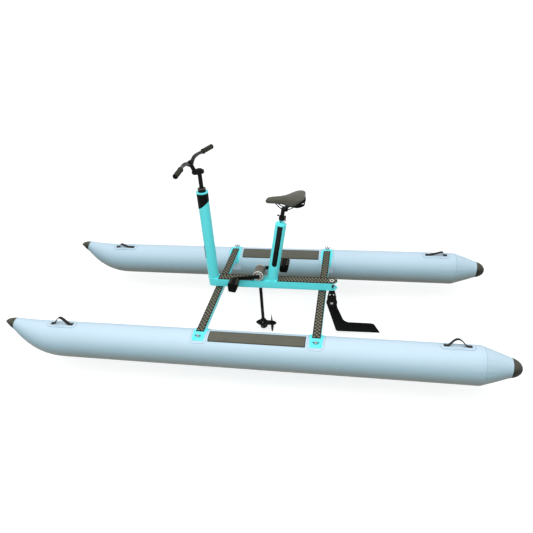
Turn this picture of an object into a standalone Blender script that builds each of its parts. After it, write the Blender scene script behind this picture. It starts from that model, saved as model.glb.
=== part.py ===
"""Inflatable water bike: two floats, two crossbars, a box beam with mast, seat tube, pedal drive and rudder.

Metres. +X points to the bow, +Y to port, +Z up. z = 0 is the loaded waterline, which runs through the
float axes; x = 0 is midway between the crossbars.
"""

import math

import bmesh
import bpy
from mathutils import Matrix, Vector

# Clearances and mesh fineness
GAP = 0.0003
RUNNING_GAP = 0.0004
FLOAT_SIDES = 24
TUBE_SIDES = 24
ROUND_SIDES = 16
SMALL_SIDES = 12
TINY_SIDES = 10
END_STEPS = 11
PIERCE = 0.004

# Floats
FLOAT_LENGTH = 3.400
FLOAT_DIAMETER = 0.245
FLOAT_SPACING = 1.116
FLOAT_WALL = 0.0015
BOW_TIP_X = 1.793
BOW_TAPER = 0.45
BOW_RADIUS_POWER = 2.25
BOW_RISE = 0.1723
BOW_RISE_POWER = 2.5
BOW_LEAN = 0.35
BOW_CAP_LENGTH = 0.072
BOW_STATIONS = (0.46, 0.40, 0.33, 0.26, 0.20, 0.15, 0.11)
BOW_CAP_SECTIONS = (
    (0.052, 0.1170, 0.0340),
    (0.034, 0.1240, 0.0252),
    (0.017, 0.1280, 0.0155),
    (0.005, 0.1265, 0.0075),
    (0.0, 0.1250, 0.0030),
)
STERN_CONE_LENGTH = 0.2325
STERN_SHOULDER = 0.035
STERN_SHOULDER_DROP = 0.0035
STERN_SEAM_LEAN = 0.07
STERN_CAP_LEAN = 0.10
STERN_CAP_DROP = 0.003
STERN_CAP_LENGTH = 0.070
STERN_CAP_RADIUS = 0.0615
STERN_CAP_WALL = 0.004
STERN_CAP_INSIDE = ((0.005, 0.0), (0.016, 0.0270), (0.034, 0.0430), (0.054, 0.0530))
STERN_CAP_OUTSIDE = ((0.052, 0.0578), (0.031, 0.0480), (0.014, 0.0340), (0.004, 0.0180), (0.0, 0.0))

# Inflation valves, on the side of each float that faces starboard
VALVE_X = -1.050
VALVE_ANGLE = math.radians(-70.0)
VALVE_RADIUS = 0.0150
VALVE_FLANGE_RADIUS = 0.0220
VALVE_DEPTH = 0.026

# Deck pads, glued between the crossbars; angles from the crest of the float, towards port
PAD_LENGTH = 0.630
PAD_THICKNESS = 0.0040
PORT_PAD_ANGLES = (math.radians(-13.0), math.radians(30.0))
STARBOARD_PAD_ANGLES = (math.radians(-3.0), math.radians(43.0))

# Carrying handles
BOW_HANDLE_X = 1.370
STERN_HANDLE_X = -1.231
HANDLE_PATCH_LENGTH = 0.200
HANDLE_PATCH_ANGLE = math.radians(16.0)
HANDLE_PATCH_LIFT = 0.0010
HANDLE_PATCH_THICKNESS = 0.0018
HANDLE_CORNER = 0.030
STRAP_WIDTH = 0.028
STRAP_THICKNESS = 0.0030
STRAP_SPAN = 0.104
STRAP_FOOT = 0.026
STRAP_HEIGHT = 0.048
STRAP_STEPS = 10

# Crossbars and their saddles; angles from the crest of the float, outboard positive
CROSSBAR_SPACING = 0.760
CROSSBAR_WIDTH = 0.056
CROSSBAR_HEIGHT = 0.034
CROSSBAR_WALL = 0.003
CROSSBAR_COVER = 0.002
PATCH_THICKNESS = 0.0008
PATCH_HALF_LENGTH = 0.054
PATCH_END_HALF_LENGTH = 0.034
PATCH_OUTBOARD = math.radians(38.0)
PATCH_INBOARD = math.radians(-93.0)
SADDLE_THICKNESS = 0.003
SADDLE_HALF_LENGTH = 0.040
SADDLE_FLARE = 0.008
SADDLE_OUTBOARD = math.radians(30.0)
SADDLE_INBOARD = math.radians(-66.0)
SADDLE_FLARE_ANGLE = math.radians(-20.0)
SADDLE_STEP = math.radians(6.0)
STUD_ANGLE = math.radians(16.0)
STUD_RADIUS = 0.0040
STUD_LENGTH = 0.033
STUD_HOLE_CLEARANCE = 0.0008
NUT_HEIGHT = 0.011
NUT_WINGS = (
    (0.006, 0.001),
    (0.013, 0.004),
    (0.021, 0.012),
    (0.0235, 0.020),
    (0.019, 0.0215),
    (0.013, 0.0155),
    (0.006, 0.0105),
)
NUT_WING_THICKNESS = 0.0035
GRIP_THICKNESS = 0.0022
GRIP_INSET = 0.001
CROSSBAR_GRIP_END = 0.006

# Main beam, with half-round ends; the tongues carry the rudder shaft
BEAM_WIDTH = 0.078
BEAM_HEIGHT = 0.0595
BEAM_BOTTOM = 0.143
BEAM_WALL = 0.003
TONGUE_THICKNESS = 0.006
MAST_X = 0.422
RUDDER_X = -0.448
PAD_BLOCK_LENGTH = 0.040
PAD_BLOCK_WIDTH = 0.036
BOLT_RADIUS = 0.0040
BOLT_HEAD_RADIUS = 0.0075
BOLT_HEAD_HEIGHT = 0.0053
BOLT_NUT_HEIGHT = 0.0065
FRONT_GRIP_X = (0.113, 0.381)
REAR_GRIP_START_X = -0.058

# Mast and steering
MAST_TOP = 0.8775
MAST_BASE_RADIUS = 0.039
MAST_TOP_RADIUS = 0.0388
MAST_WALL = 0.0025
MAST_FLANGE_RADIUS = 0.0420
MAST_FLANGE_HEIGHT = 0.007
COLUMN_RADIUS = 0.0143
COLUMN_WALL = 0.0028
COLUMN_TOP = 1.028
BEARING_RADIUS = 0.0285
BEARING_HEIGHT = 0.0245
BEARING_SPIGOT_RADIUS = 0.0212
BEARING_SPIGOT_DEPTH = 0.012
LOWER_BEARING_LIFT = 0.013
LOWER_BEARING_HEIGHT = 0.012
STEERING_REST_YAW = math.radians(-7.2)

# Steering cable and its two drums
DRUM_RADIUS = 0.0116
DRUM_FLANGE_RADIUS = 0.0160
DRUM_MIDDLE = 0.173
DRUM_HALF_HEIGHT = 0.011
DRUM_FLANGE = 0.003
CABLE_RADIUS = 0.0010
CABLE_SPREAD = 0.0180
CABLE_RISE = 0.0030
CABLE_CROSSING_X = (-0.03, -0.40)

# Stem, handlebar and hand grips, measured from the column's axis
STEM_BODY_RADIUS = 0.0205
STEM_BODY_BOTTOM = 1.003
STEM_BODY_TOP = 1.036
STEM_PIVOT = Vector((0.0315, 0.0, 1.0135))
BAR_CLAMP = Vector((0.0570, 0.0, 1.0717))
STEM_EAR_RADIUS = 0.0170
STEM_EARS_WIDTH = 0.033
STEM_EYE_RADIUS = 0.0125
STEM_ARM_WIDTH = 0.017
STEM_CLAMP_RADIUS = 0.0190
STEM_CLAMP_WIDTH = 0.040
STEM_PIN_RADIUS = 0.0045
STEM_PIN_HEAD_RADIUS = 0.0075
STEM_PIN_HEAD = 0.0036
STEM_NECK_ROOM = Vector((0.033, 0.0, 0.0355))
STEM_NECK_ROOM_START = Vector((-0.0125, 0.0, -0.0135))
BAR_CLAMP_RADIUS = 0.0127
BAR_RADIUS = 0.0111
BAR_HALF_CLAMP = 0.024
BAR_BENDS = (
    (0.0, 0.044, 0.0085),
    (-0.0002, 0.060, 0.0160),
    (-0.0006, 0.088, 0.0205),
    (-0.0050, 0.130, 0.0215),
)
GRIP_START = Vector((-0.0175, 0.1745, 0.0215))
GRIP_END = Vector((-0.0360, 0.2900, 0.0205))
HAND_GRIP_RADIUS = 0.0165
HAND_GRIP_COLLAR_RADIUS = 0.0185
HAND_GRIP_COLLAR = 0.008
HAND_GRIP_END_WALL = 0.004

# Seat tube and seat; heights run along the tube from the beam's top
SEAT_TUBE_X = -0.018
SEAT_TUBE_LEAN = math.radians(-10.7)
SEAT_TUBE_RADIUS = 0.0385
SEAT_TUBE_WALL = 0.0025
SEAT_TUBE_LENGTH = 0.455
SEAT_SHOULDER = 0.009
SEAT_NECK_RADIUS = 0.0168
SEAT_NECK_TOP = SEAT_TUBE_LENGTH + 0.053
SEAT_POST_RADIUS = 0.0136
SEAT_POST_BOTTOM = SEAT_TUBE_LENGTH - 0.155
SEAT_POST_TOP = SEAT_TUBE_LENGTH + 0.117
SEAT_CLAMP_RADIUS = 0.0208
SEAT_CLAMP_BOTTOM = SEAT_TUBE_LENGTH + 0.030
SEAT_CLAMP_HEIGHT = 0.026
SEAT_CLAMP_LUG = 0.014
SEAT_CLAMP_SLIT = 0.0024
SKEWER_RADIUS = 0.0025
SKEWER_KNOB_RADIUS = 0.0070
SKEWER_KNOB = 0.008
LEVER_LENGTH = 0.034
LEVER_WIDTH = 0.013
LEVER_PIVOT_RADIUS = 0.0062
LEVER_PIN_RADIUS = 0.0020
SADDLE_PIVOT = Vector((-0.0195, 0.0, SEAT_POST_TOP + 0.002))
POST_HEAD_RADIUS = 0.0135
POST_HEAD_WIDTH = 0.0300
TILT_PIN_RADIUS = 0.0050
RAIL_RADIUS = 0.0035
RAIL_HALF_SPACING = 0.022
RAIL_CHEEK_RADIUS = 0.0145
RAIL_CHEEK = 0.012
RAIL_ROUTE = (
    (0.0800, 0.0110, 0.0560),
    (0.0680, 0.0125, 0.0380),
    (0.0460, 0.0170, 0.0160),
    (0.0240, 0.0210, 0.0020),
    (0.0, 0.0220, 0.0),
    (-0.0400, 0.0230, 0.0),
    (-0.0920, 0.0260, 0.0020),
    (-0.1160, 0.0275, 0.0120),
    (-0.1220, 0.0280, 0.0330),
    (-0.1120, 0.0280, 0.0800),
)
# Saddle sections: distance forward of the tilt pin, half width, top, skirt
SADDLE_SECTIONS = (
    (0.1375, 0.0150, 0.0700, 0.0440),
    (0.1290, 0.0225, 0.0820, 0.0405),
    (0.0960, 0.0235, 0.0860, 0.0395),
    (0.0460, 0.0275, 0.0880, 0.0380),
    (-0.0010, 0.0450, 0.0920, 0.0280),
    (-0.0450, 0.0730, 0.1055, 0.0150),
    (-0.0850, 0.0850, 0.1170, 0.0260),
    (-0.1150, 0.0780, 0.1180, 0.0460),
    (-0.1275, 0.0560, 0.1070, 0.0640),
)
SADDLE_SHOULDER = 0.62
SADDLE_SHOULDER_DROP = 0.003
SADDLE_EDGE_DROP = 0.018
SADDLE_RIM = 0.90
SADDLE_RIM_INSIDE = 0.72
SADDLE_RIM_LIFT = 0.003
SADDLE_PAD_DEPTH = 0.048

# Pedal drive
DRIVE_X = 0.0745
CRANK_HEIGHT = 0.2505
HOUSING_RADIUS = 0.0385
HOUSING_HALF_LENGTH = 0.050
HOUSING_WALL = 0.004
BASE_LENGTH = 0.052
BASE_WIDTH = 0.066
SPINDLE_RADIUS = 0.010
SPINDLE_HALF_LENGTH = 0.0655
CROWN_RADIUS = 0.030
CROWN_BACK = 0.012
CROWN_HUB_BACK = 0.014
UPPER_RATIO = 4.0
LOWER_RATIO = 2.0
PINION_FACE = 0.010
CRANK_LENGTH = 0.170
CRANK_THICKNESS = 0.012
CRANK_BOSS_RADIUS = 0.0160
CRANK_EYE_RADIUS = 0.0125
CRANK_REST_ANGLE = math.radians(7.0)
PEDAL_AXLE_RADIUS = 0.0045
PEDAL_AXLE_LENGTH = 0.088
PEDAL_LENGTH = 0.073
PEDAL_WIDTH = 0.088
PEDAL_HEIGHT = 0.070
PEDAL_DROP = 0.022
PEDAL_TAPER = 0.009
PEDAL_WINDOW_X = (0.0125, 0.0255)
PEDAL_WINDOW_HALF_WIDTH = 0.031
PEDAL_CHAMFER = 0.008
PORT_PEDAL_PITCH = math.radians(-8.0)
STARBOARD_PEDAL_PITCH = math.radians(-4.0)

# Drive leg, gear pod and propeller
LEG_RADIUS = 0.012
DRIVE_SHAFT_RADIUS = 0.004
PROP_HEIGHT = -0.204
POD_BOSS_RADIUS = 0.024
POD_BOSS_TOP = 0.038
POD_BOSS_BOTTOM = -0.048
POD_NOSE = (
    (0.0580, 0.0),
    (0.0540, 0.0060),
    (0.0420, 0.0150),
    (0.0240, 0.0240),
    (0.0, 0.0265),
    (-0.018, 0.0230),
    (-0.030, 0.0180),
)
POD_TAIL = -0.0560
POD_TAIL_RADIUS = 0.0180
POD_CAVITY_RADIUS = 0.0195
POD_CAVITY = (-0.012, 0.0170)
PROP_SHAFT_RADIUS = 0.005
PROP_GEAR_RADIUS = 0.0095
LOWER_CROWN_RADIUS = 0.0185
LOWER_CROWN_TOP = 0.0155
PROP_HUB_RADIUS = 0.0165
PROP_HUB_LENGTH = 0.024
PROP_CONE_LENGTH = 0.022
PROP_DIAMETER = 0.166
PROP_PITCH_TURN = math.radians(62.0)
PROP_BLADE_THICKNESS = 0.003
PROP_BLADE_CHORDS = (
    (0.008, 0.0070),
    (0.026, 0.0115),
    (0.046, 0.0145),
    (0.062, 0.0140),
    (0.074, 0.0105),
    (0.080, 0.0065),
)

# Rudder
RUDDER_SHAFT_RADIUS = 0.008
BUSH_RADIUS = 0.0115
BUSH_FLANGE_RADIUS = 0.0165
BUSH_FLANGE = 0.0055
RUDDER_PIVOT_HEIGHT = 0.0155
RUDDER_HEAD_TOP = 0.138
RUDDER_HEAD_THICKNESS = 0.022
RUDDER_HEAD_TOP_HALF = 0.0150
RUDDER_HEAD_WIDE_HALF = 0.0330
RUDDER_HEAD_WIDE_Z = 0.058
RUDDER_CHEEK_RADIUS = 0.0320
RUDDER_WINDOW = ((0.0085, 0.072), (0.0085, 0.094), (0.0140, 0.094), (0.0215, 0.076), (0.0190, 0.069))
BLADE_THICKNESS = 0.010
BLADE_ROUND_RADIUS = 0.040
BLADE_SLOT_LIFT = 0.003
BLADE_OUTLINE = (
    (-0.0410, -0.0440),
    (-0.0700, -0.1150),
    (-0.0840, -0.1500),
    (-0.0960, -0.1660),
    (-0.1230, -0.1770),
    (-0.2860, -0.1760),
    (-0.3030, -0.1790),
    (-0.3140, -0.1860),
    (-0.3580, -0.2570),
    (-0.0450, -0.2620),
    (-0.0360, -0.2570),
    (-0.0310, -0.2480),
)
RUDDER_BOLT_HEAD_RADIUS = 0.0085
RUDDER_BOLT_HEAD = 0.0045

# Values that follow from the ones above
FLOAT_RADIUS = FLOAT_DIAMETER / 2
FLOAT_Y = FLOAT_SPACING / 2
TAIL_TIP_X = BOW_TIP_X - FLOAT_LENGTH
CROSSBAR_X = CROSSBAR_SPACING / 2
PATCH_RADIUS = FLOAT_RADIUS + GAP
SADDLE_RADIUS = PATCH_RADIUS + PATCH_THICKNESS + GAP
SADDLE_OUTER_RADIUS = SADDLE_RADIUS + SADDLE_THICKNESS
CROSSBAR_TOP = SADDLE_OUTER_RADIUS + CROSSBAR_COVER
CROSSBAR_BOTTOM = CROSSBAR_TOP - CROSSBAR_HEIGHT
BEAM_TOP = BEAM_BOTTOM + BEAM_HEIGHT
DRUM_CABLE_RADIUS = DRUM_RADIUS + GAP + CABLE_RADIUS
SADDLE_HALF_SPAN = math.sqrt(SADDLE_OUTER_RADIUS**2 - CROSSBAR_BOTTOM**2)
CRANK_OUTER_Y = HOUSING_HALF_LENGTH + 0.0035 + CRANK_THICKNESS
POD_PITCH_SLOPE = 1 / LOWER_RATIO

# Colours as red, green, blue, with roughness and metallic
FINISHES = {
    "pale blue pvc": ((0.58, 0.74, 0.90), 0.40, 0.0),
    "dark rubber": ((0.05, 0.05, 0.045), 0.70, 0.0),
    "grey foam": ((0.14, 0.135, 0.11), 0.85, 0.0),
    "black webbing": ((0.03, 0.03, 0.03), 0.85, 0.0),
    "turquoise paint": ((0.10, 0.60, 0.62), 0.30, 0.0),
    "ribbed grip": ((0.10, 0.09, 0.075), 0.80, 0.0),
    "black paint": ((0.02, 0.02, 0.02), 0.40, 0.0),
    "bright steel": ((0.75, 0.75, 0.75), 0.25, 1.0),
    "grey alloy": ((0.45, 0.45, 0.42), 0.35, 1.0),
    "black plastic": ((0.025, 0.025, 0.025), 0.55, 0.0),
    "saddle cover": ((0.06, 0.06, 0.055), 0.50, 0.0),
    "pale bush": ((0.75, 0.74, 0.70), 0.50, 0.0),
}


def clear_scene():
    """Remove what the opened file holds."""
    for obj in list(bpy.data.objects):
        bpy.data.objects.remove(obj)


def add_collection(name, hidden=False):
    """A new collection under the scene's own."""
    collection = bpy.data.collections.new(name)
    bpy.context.scene.collection.children.link(collection)
    collection.hide_render = hidden
    return collection


def finish(name):
    """The Principled material of this name, made once."""
    found = bpy.data.materials.get(name)
    if found:
        return found
    colour, roughness, metallic = FINISHES[name]
    material = bpy.data.materials.new(name)
    material.use_nodes = True
    shader = material.node_tree.nodes["Principled BSDF"]
    shader.inputs["Base Color"].default_value = (*colour, 1.0)
    shader.inputs["Roughness"].default_value = roughness
    shader.inputs["Metallic"].default_value = metallic
    material.diffuse_color = (*colour, 1.0)
    return material


def piece(name, mesh, finish_name, parent=None, location=(0, 0, 0), rotation=(0, 0, 0)):
    """One sub-part of the bike."""
    obj = bpy.data.objects.new(name, mesh)
    parts.objects.link(obj)
    obj.parent = parent
    obj.location = location
    obj.rotation_euler = rotation
    if not mesh.materials:
        mesh.materials.append(finish(finish_name))
    return obj


def guide(mesh, parent=None, location=(0, 0, 0), rotation=(0, 0, 0)):
    """A shape that is only joined to or cut from a piece."""
    obj = bpy.data.objects.new("guide", mesh)
    guides.objects.link(obj)
    obj.parent = parent
    obj.location = location
    obj.rotation_euler = rotation
    obj.hide_render = True
    obj.display_type = "WIRE"
    return obj


def axis_empty(name, parent=None, location=(0, 0, 0), rotation=(0, 0, 0)):
    """An empty on a joint's axis, which carries the pieces that move with it."""
    empty = bpy.data.objects.new(name, None)
    parts.objects.link(empty)
    empty.parent = parent
    empty.location = location
    empty.rotation_euler = rotation
    return empty


def combine(obj, tool, operation):
    """Join a guide to a piece, or cut it out of the piece."""
    modifier = obj.modifiers.new(operation.lower(), "BOOLEAN")
    modifier.operation = operation
    modifier.solver = "EXACT"
    modifier.object = tool


def join(obj, mesh, location=(0, 0, 0), rotation=(0, 0, 0)):
    """Weld a shape to a piece that shares its parent."""
    combine(obj, guide(mesh, obj.parent, location, rotation), "UNION")


def cut(obj, mesh, location=(0, 0, 0), rotation=(0, 0, 0)):
    """Cut a shape out of a piece that shares its parent."""
    combine(obj, guide(mesh, obj.parent, location, rotation), "DIFFERENCE")


def finished_mesh(bm):
    """A mesh with smooth faces and crisp edges."""
    mesh = bpy.data.meshes.new("shape")
    bm.to_mesh(mesh)
    bm.free()
    mesh.shade_smooth()
    mesh.set_sharp_from_angle(angle=math.radians(35))
    return mesh


def block(size, centre=(0, 0, 0)):
    """A box."""
    bm = bmesh.new()
    bmesh.ops.create_cube(bm, size=1.0, matrix=Matrix.Translation(centre) @ Matrix.Diagonal((*size, 1.0)))
    return finished_mesh(bm)


def rod(radius, bottom, top, sides=ROUND_SIDES):
    """A cylinder along Z between two heights."""
    bm = bmesh.new()
    middle = Matrix.Translation((0, 0, (bottom + top) / 2))
    bmesh.ops.create_cone(
        bm, cap_ends=True, segments=sides, radius1=radius, radius2=radius, depth=top - bottom, matrix=middle
    )
    return finished_mesh(bm)


def turned(
    name, profile, finish_name, parent=None, location=(0, 0, 0), rotation=(0, 0, 0), steps=ROUND_SIDES
):
    """A turned piece: the profile lists (radius, height) down the outer side and back up the bore."""
    obj = piece(name, profile_mesh(profile), finish_name, parent, location, rotation)
    add_screw(obj, steps)
    return obj


def profile_mesh(profile):
    """The edges of a turned profile, closed where it doesn't end on the axis."""
    mesh = bpy.data.meshes.new("profile")
    count = len(profile)
    edges = [(i, i + 1) for i in range(count - 1)]
    if profile[0][0] > 0:
        edges.append((count - 1, 0))
    mesh.from_pydata([(radius, 0, height) for radius, height in profile], edges, [])
    return mesh


def add_screw(obj, steps):
    """Turn a profile into a solid of revolution about its own Z."""
    screw = obj.modifiers.new("turn", "SCREW")
    screw.axis = "Z"
    screw.angle = math.tau
    screw.steps = steps
    screw.render_steps = steps
    screw.use_merge_vertices = True
    screw.merge_threshold = 0.00001
    screw.use_smooth_shade = True


def turned_mesh(profile, steps=ROUND_SIDES):
    """The finished mesh of a turned shape, for joining to a piece."""
    shape = bpy.data.objects.new("turned shape", profile_mesh(profile))
    guides.objects.link(shape)
    add_screw(shape, steps)
    return applied(shape)


def applied(obj):
    """The evaluated mesh of a helper object, welded at its caps, and the helper removed."""
    bpy.context.view_layer.update()
    graph = bpy.context.evaluated_depsgraph_get()
    mesh = bpy.data.meshes.new_from_object(obj.evaluated_get(graph))
    bpy.data.objects.remove(obj)
    bm = bmesh.new()
    bm.from_mesh(mesh)
    bmesh.ops.remove_doubles(bm, verts=bm.verts, dist=0.00001)
    bm.to_mesh(mesh)
    bm.free()
    mesh.materials.clear()
    mesh.shade_smooth()
    mesh.set_sharp_from_angle(angle=math.radians(35))
    return mesh


def circle(radius, centre=(0.0, 0.0), sides=ROUND_SIDES, start=0.0, stop=math.tau):
    """Points round a circle, or along an arc of it with both ends."""
    whole = abs(stop - start) >= math.tau
    count = sides if whole else sides + 1
    step = (stop - start) / sides
    return [
        (centre[0] + radius * math.cos(start + step * i), centre[1] + radius * math.sin(start + step * i))
        for i in range(count)
    ]


def link_outline(first_radius, second_radius, length, sides=SMALL_SIDES):
    """Two circles on X joined by their tangents, the first at the origin."""
    tilt = math.acos((first_radius - second_radius) / length)
    far = circle(second_radius, (length, 0), sides // 2, -tilt, tilt)
    near = circle(first_radius, (0, 0), sides // 2, tilt, math.tau - tilt)
    return far + near


def plate(outlines, thickness, upright=False):
    """A flat outline, with any holes after it, thick about its own plane: XY, or XZ if it stands upright."""
    curve = bpy.data.curves.new("outline", "CURVE")
    curve.dimensions = "2D"
    curve.fill_mode = "BOTH"
    curve.extrude = thickness / 2
    for points in outlines:
        spline = curve.splines.new("POLY")
        spline.points.add(len(points) - 1)
        for point, (x, y) in zip(spline.points, points):
            point.co = (x, y, 0, 1)
        spline.use_cyclic_u = True
    shape = bpy.data.objects.new("flat shape", curve)
    guides.objects.link(shape)
    mesh = applied(shape)
    if upright:
        mesh.transform(Matrix.Rotation(math.radians(90), 4, "X"))
    return mesh


def tube(points, radius, resolution=2, factors=None, closed=False):
    """A round bar along a route; factors scale its radius point by point."""
    curve = bpy.data.curves.new("route", "CURVE")
    curve.dimensions = "3D"
    curve.bevel_depth = radius
    curve.bevel_resolution = resolution
    curve.use_fill_caps = not closed
    spline = curve.splines.new("POLY")
    spline.points.add(len(points) - 1)
    for i, point in enumerate(points):
        spline.points[i].co = (*point, 1)
        spline.points[i].radius = factors[i] if factors else 1.0
    spline.use_cyclic_u = closed
    shape = bpy.data.objects.new("tube shape", curve)
    guides.objects.link(shape)
    return applied(shape)


def pin_with_heads(radius, head_radius, grip, head):
    """A pin along Z with a head past each end of its grip."""
    half = grip / 2
    profile = [
        (0, half + head),
        (head_radius, half + head),
        (head_radius, half),
        (radius, half),
        (radius, -half),
        (head_radius, -half),
        (head_radius, -half - head),
        (0, -half - head),
    ]
    return turned_mesh(profile, SMALL_SIDES)


def loft(rings):
    """Circles (x, z, radius, lean) skinned along X and closed; lean slants a circle's plane."""
    bm = bmesh.new()
    loops = []
    for x, z, radius, lean in rings:
        loop = []
        for i in range(FLOAT_SIDES):
            angle = math.tau * i / FLOAT_SIDES
            rise = radius * math.cos(angle)
            loop.append(bm.verts.new((x - lean * rise, radius * math.sin(angle), z + rise)))
        loops.append(loop)
    for first, second in zip(loops, loops[1:]):
        for i in range(FLOAT_SIDES):
            j = (i + 1) % FLOAT_SIDES
            bm.faces.new((first[i], first[j], second[j], second[i]))
    bm.faces.new(loops[0])
    bm.faces.new(loops[-1])
    bmesh.ops.recalc_face_normals(bm, faces=bm.faces)
    return finished_mesh(bm)


def wrapped_sheet(rows, radius, mirror=1):
    """An open sheet bent over a float's axis: rows of (angle, half length), angles in rising order."""
    bm = bmesh.new()
    pairs = []
    for angle, half in rows:
        y = mirror * radius * math.sin(angle)
        z = radius * math.cos(angle)
        pairs.append((bm.verts.new((-half, y, z)), bm.verts.new((half, y, z))))
    for (a, b), (c, d) in zip(pairs, pairs[1:]):
        bm.faces.new((a, b, d, c) if mirror > 0 else (c, d, b, a))
    return finished_mesh(bm)


def add_thickness(obj, thickness):
    """Give an open sheet its thickness, on its outer side."""
    solidify = obj.modifiers.new("thickness", "SOLIDIFY")
    solidify.thickness = thickness
    solidify.offset = 1.0
    solidify.use_even_offset = True


def angle_steps(start, stop, step):
    """Even angles from start to stop, no further apart than step."""
    count = math.ceil((stop - start) / step)
    return [start + (stop - start) * i / count for i in range(count + 1)]


def bow_section(distance):
    """Height and radius of the float at a distance behind the bow tip."""
    left = max(0.0, 1 - distance / BOW_TAPER)
    return BOW_RISE * left**BOW_RISE_POWER, FLOAT_RADIUS * (1 - left**BOW_RADIUS_POWER)


def bow_lean(distance):
    """Slant of the float's circles, growing towards the bow cap."""
    return BOW_LEAN * max(0.0, 1 - (distance - BOW_CAP_LENGTH) / (BOW_TAPER - BOW_CAP_LENGTH))


def float_rings():
    """The float's circles from the bow cap to the stern cap."""
    rings = []
    for distance in (BOW_CAP_LENGTH, *reversed(BOW_STATIONS)):
        z, radius = bow_section(distance)
        rings.append((BOW_TIP_X - distance, z, radius, bow_lean(distance)))
    seam_x = TAIL_TIP_X + STERN_CONE_LENGTH
    rings.append((seam_x + STERN_SHOULDER, 0, FLOAT_RADIUS, 0))
    rings.append((seam_x, 0, FLOAT_RADIUS - STERN_SHOULDER_DROP, STERN_SEAM_LEAN))
    cap_length = STERN_CAP_LENGTH * math.cos(math.atan(STERN_CAP_LEAN))
    rings.append((TAIL_TIP_X + cap_length, -STERN_CAP_DROP, STERN_CAP_RADIUS, STERN_CAP_LEAN))
    return rings


def bow_cap_rings():
    """The rubber bow cap's circles, face to face with the float."""
    z, radius = bow_section(BOW_CAP_LENGTH)
    rings = [(BOW_TIP_X - BOW_CAP_LENGTH + GAP, z, radius, BOW_LEAN)]
    for distance, height, section_radius in BOW_CAP_SECTIONS:
        rings.append((BOW_TIP_X - distance, height, section_radius, BOW_LEAN))
    return rings


def make_float(side, y):
    """One inflated tube with its caps and valve."""
    hull = piece(f"float_{side}", loft(float_rings()), "pale blue pvc", location=(0, y, 0))
    wall = hull.modifiers.new("wall", "SOLIDIFY")
    wall.thickness = FLOAT_WALL
    wall.offset = -1.0
    wall.use_even_offset = True
    valve_place = (VALVE_X, y, 0)
    valve_turn = (-VALVE_ANGLE, 0, 0)
    valve_hole = rod(VALVE_RADIUS + GAP, FLOAT_RADIUS - VALVE_DEPTH, FLOAT_RADIUS + PIERCE)
    cut(hull, valve_hole, valve_place, valve_turn)
    flange_bottom = FLOAT_RADIUS + GAP
    profile = [
        (0, flange_bottom + 0.009),
        (0.0125, flange_bottom + 0.009),
        (0.0145, flange_bottom + 0.004),
        (VALVE_FLANGE_RADIUS - 0.001, flange_bottom + 0.0035),
        (VALVE_FLANGE_RADIUS, flange_bottom),
        (VALVE_RADIUS, flange_bottom),
        (VALVE_RADIUS, FLOAT_RADIUS - VALVE_DEPTH + 0.004),
        (0, FLOAT_RADIUS - VALVE_DEPTH + 0.004),
    ]
    turned(f"valve_{side}", profile, "black plastic", None, valve_place, valve_turn, SMALL_SIDES)
    piece(f"bow_cap_{side}", loft(bow_cap_rings()), "dark rubber", location=(0, y, 0))
    rim = STERN_CAP_LENGTH - GAP
    cup = [(radius, distance) for distance, radius in STERN_CAP_INSIDE]
    cup += [(STERN_CAP_RADIUS - STERN_CAP_WALL, rim), (STERN_CAP_RADIUS, rim)]
    cup += [(radius, distance) for distance, radius in STERN_CAP_OUTSIDE]
    cap_tilt = math.atan(STERN_CAP_LEAN)
    tail_tip = (TAIL_TIP_X, y, -STERN_CAP_DROP - STERN_CAP_LENGTH * math.sin(cap_tilt))
    facing_bow = (0, math.radians(90) - cap_tilt, 0)
    turned(f"stern_cap_{side}", cup, "dark rubber", None, tail_tip, facing_bow, FLOAT_SIDES)


def make_pad(side, y, angles):
    """A foam deck pad bent over the float between the crossbars."""
    rows = [(angle, PAD_LENGTH / 2) for angle in angle_steps(*angles, SADDLE_STEP)]
    pad = piece(f"deck_pad_{side}", wrapped_sheet(rows, FLOAT_RADIUS + GAP), "grey foam", location=(0, y, 0))
    add_thickness(pad, PAD_THICKNESS)


def strap_route():
    """The carrying strap's arch: flat feet and a rounded hump between them, as (x, height)."""
    half = STRAP_SPAN / 2
    points = [(-half - STRAP_FOOT, 0.0)]
    for i in range(STRAP_STEPS + 1):
        x = -half + STRAP_SPAN * i / STRAP_STEPS
        points.append((x, STRAP_HEIGHT * math.sin(math.pi * i / STRAP_STEPS) ** 0.8))
    points.append((half + STRAP_FOOT, 0.0))
    return points


def make_handle(name, x, y):
    """A webbing handle sewn to its glued patch."""
    half = HANDLE_PATCH_LENGTH / 2
    base_radius = FLOAT_RADIUS + HANDLE_PATCH_LIFT
    rows = []
    for angle in angle_steps(-HANDLE_PATCH_ANGLE, HANDLE_PATCH_ANGLE, SADDLE_STEP * 0.9):
        edge = max(0.0, abs(angle) / HANDLE_PATCH_ANGLE - 0.5) / 0.5
        rows.append((angle, half - HANDLE_CORNER * (1 - math.sqrt(1 - 0.96 * edge**2))))
    handle = piece(name, wrapped_sheet(rows, base_radius), "black webbing", location=(x, y, 0))
    add_thickness(handle, HANDLE_PATCH_THICKNESS)
    bm = bmesh.new()
    foot = base_radius + HANDLE_PATCH_THICKNESS / 4
    rows = []
    for route_x, height in strap_route():
        rows.append([bm.verts.new((route_x, w, foot + height)) for w in (-STRAP_WIDTH / 2, STRAP_WIDTH / 2)])
    for (a, b), (c, d) in zip(rows, rows[1:]):
        bm.faces.new((a, c, d, b))
    strap = guide(finished_mesh(bm), location=(x, y, 0))
    add_thickness(strap, STRAP_THICKNESS)
    combine(handle, strap, "UNION")


def saddle_half(angle):
    """Half length of a crossbar's saddle, which flares on its inboard side."""
    return SADDLE_HALF_LENGTH + SADDLE_FLARE * math.exp(-(((angle - SADDLE_FLARE_ANGLE) / 0.30) ** 2))


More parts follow.
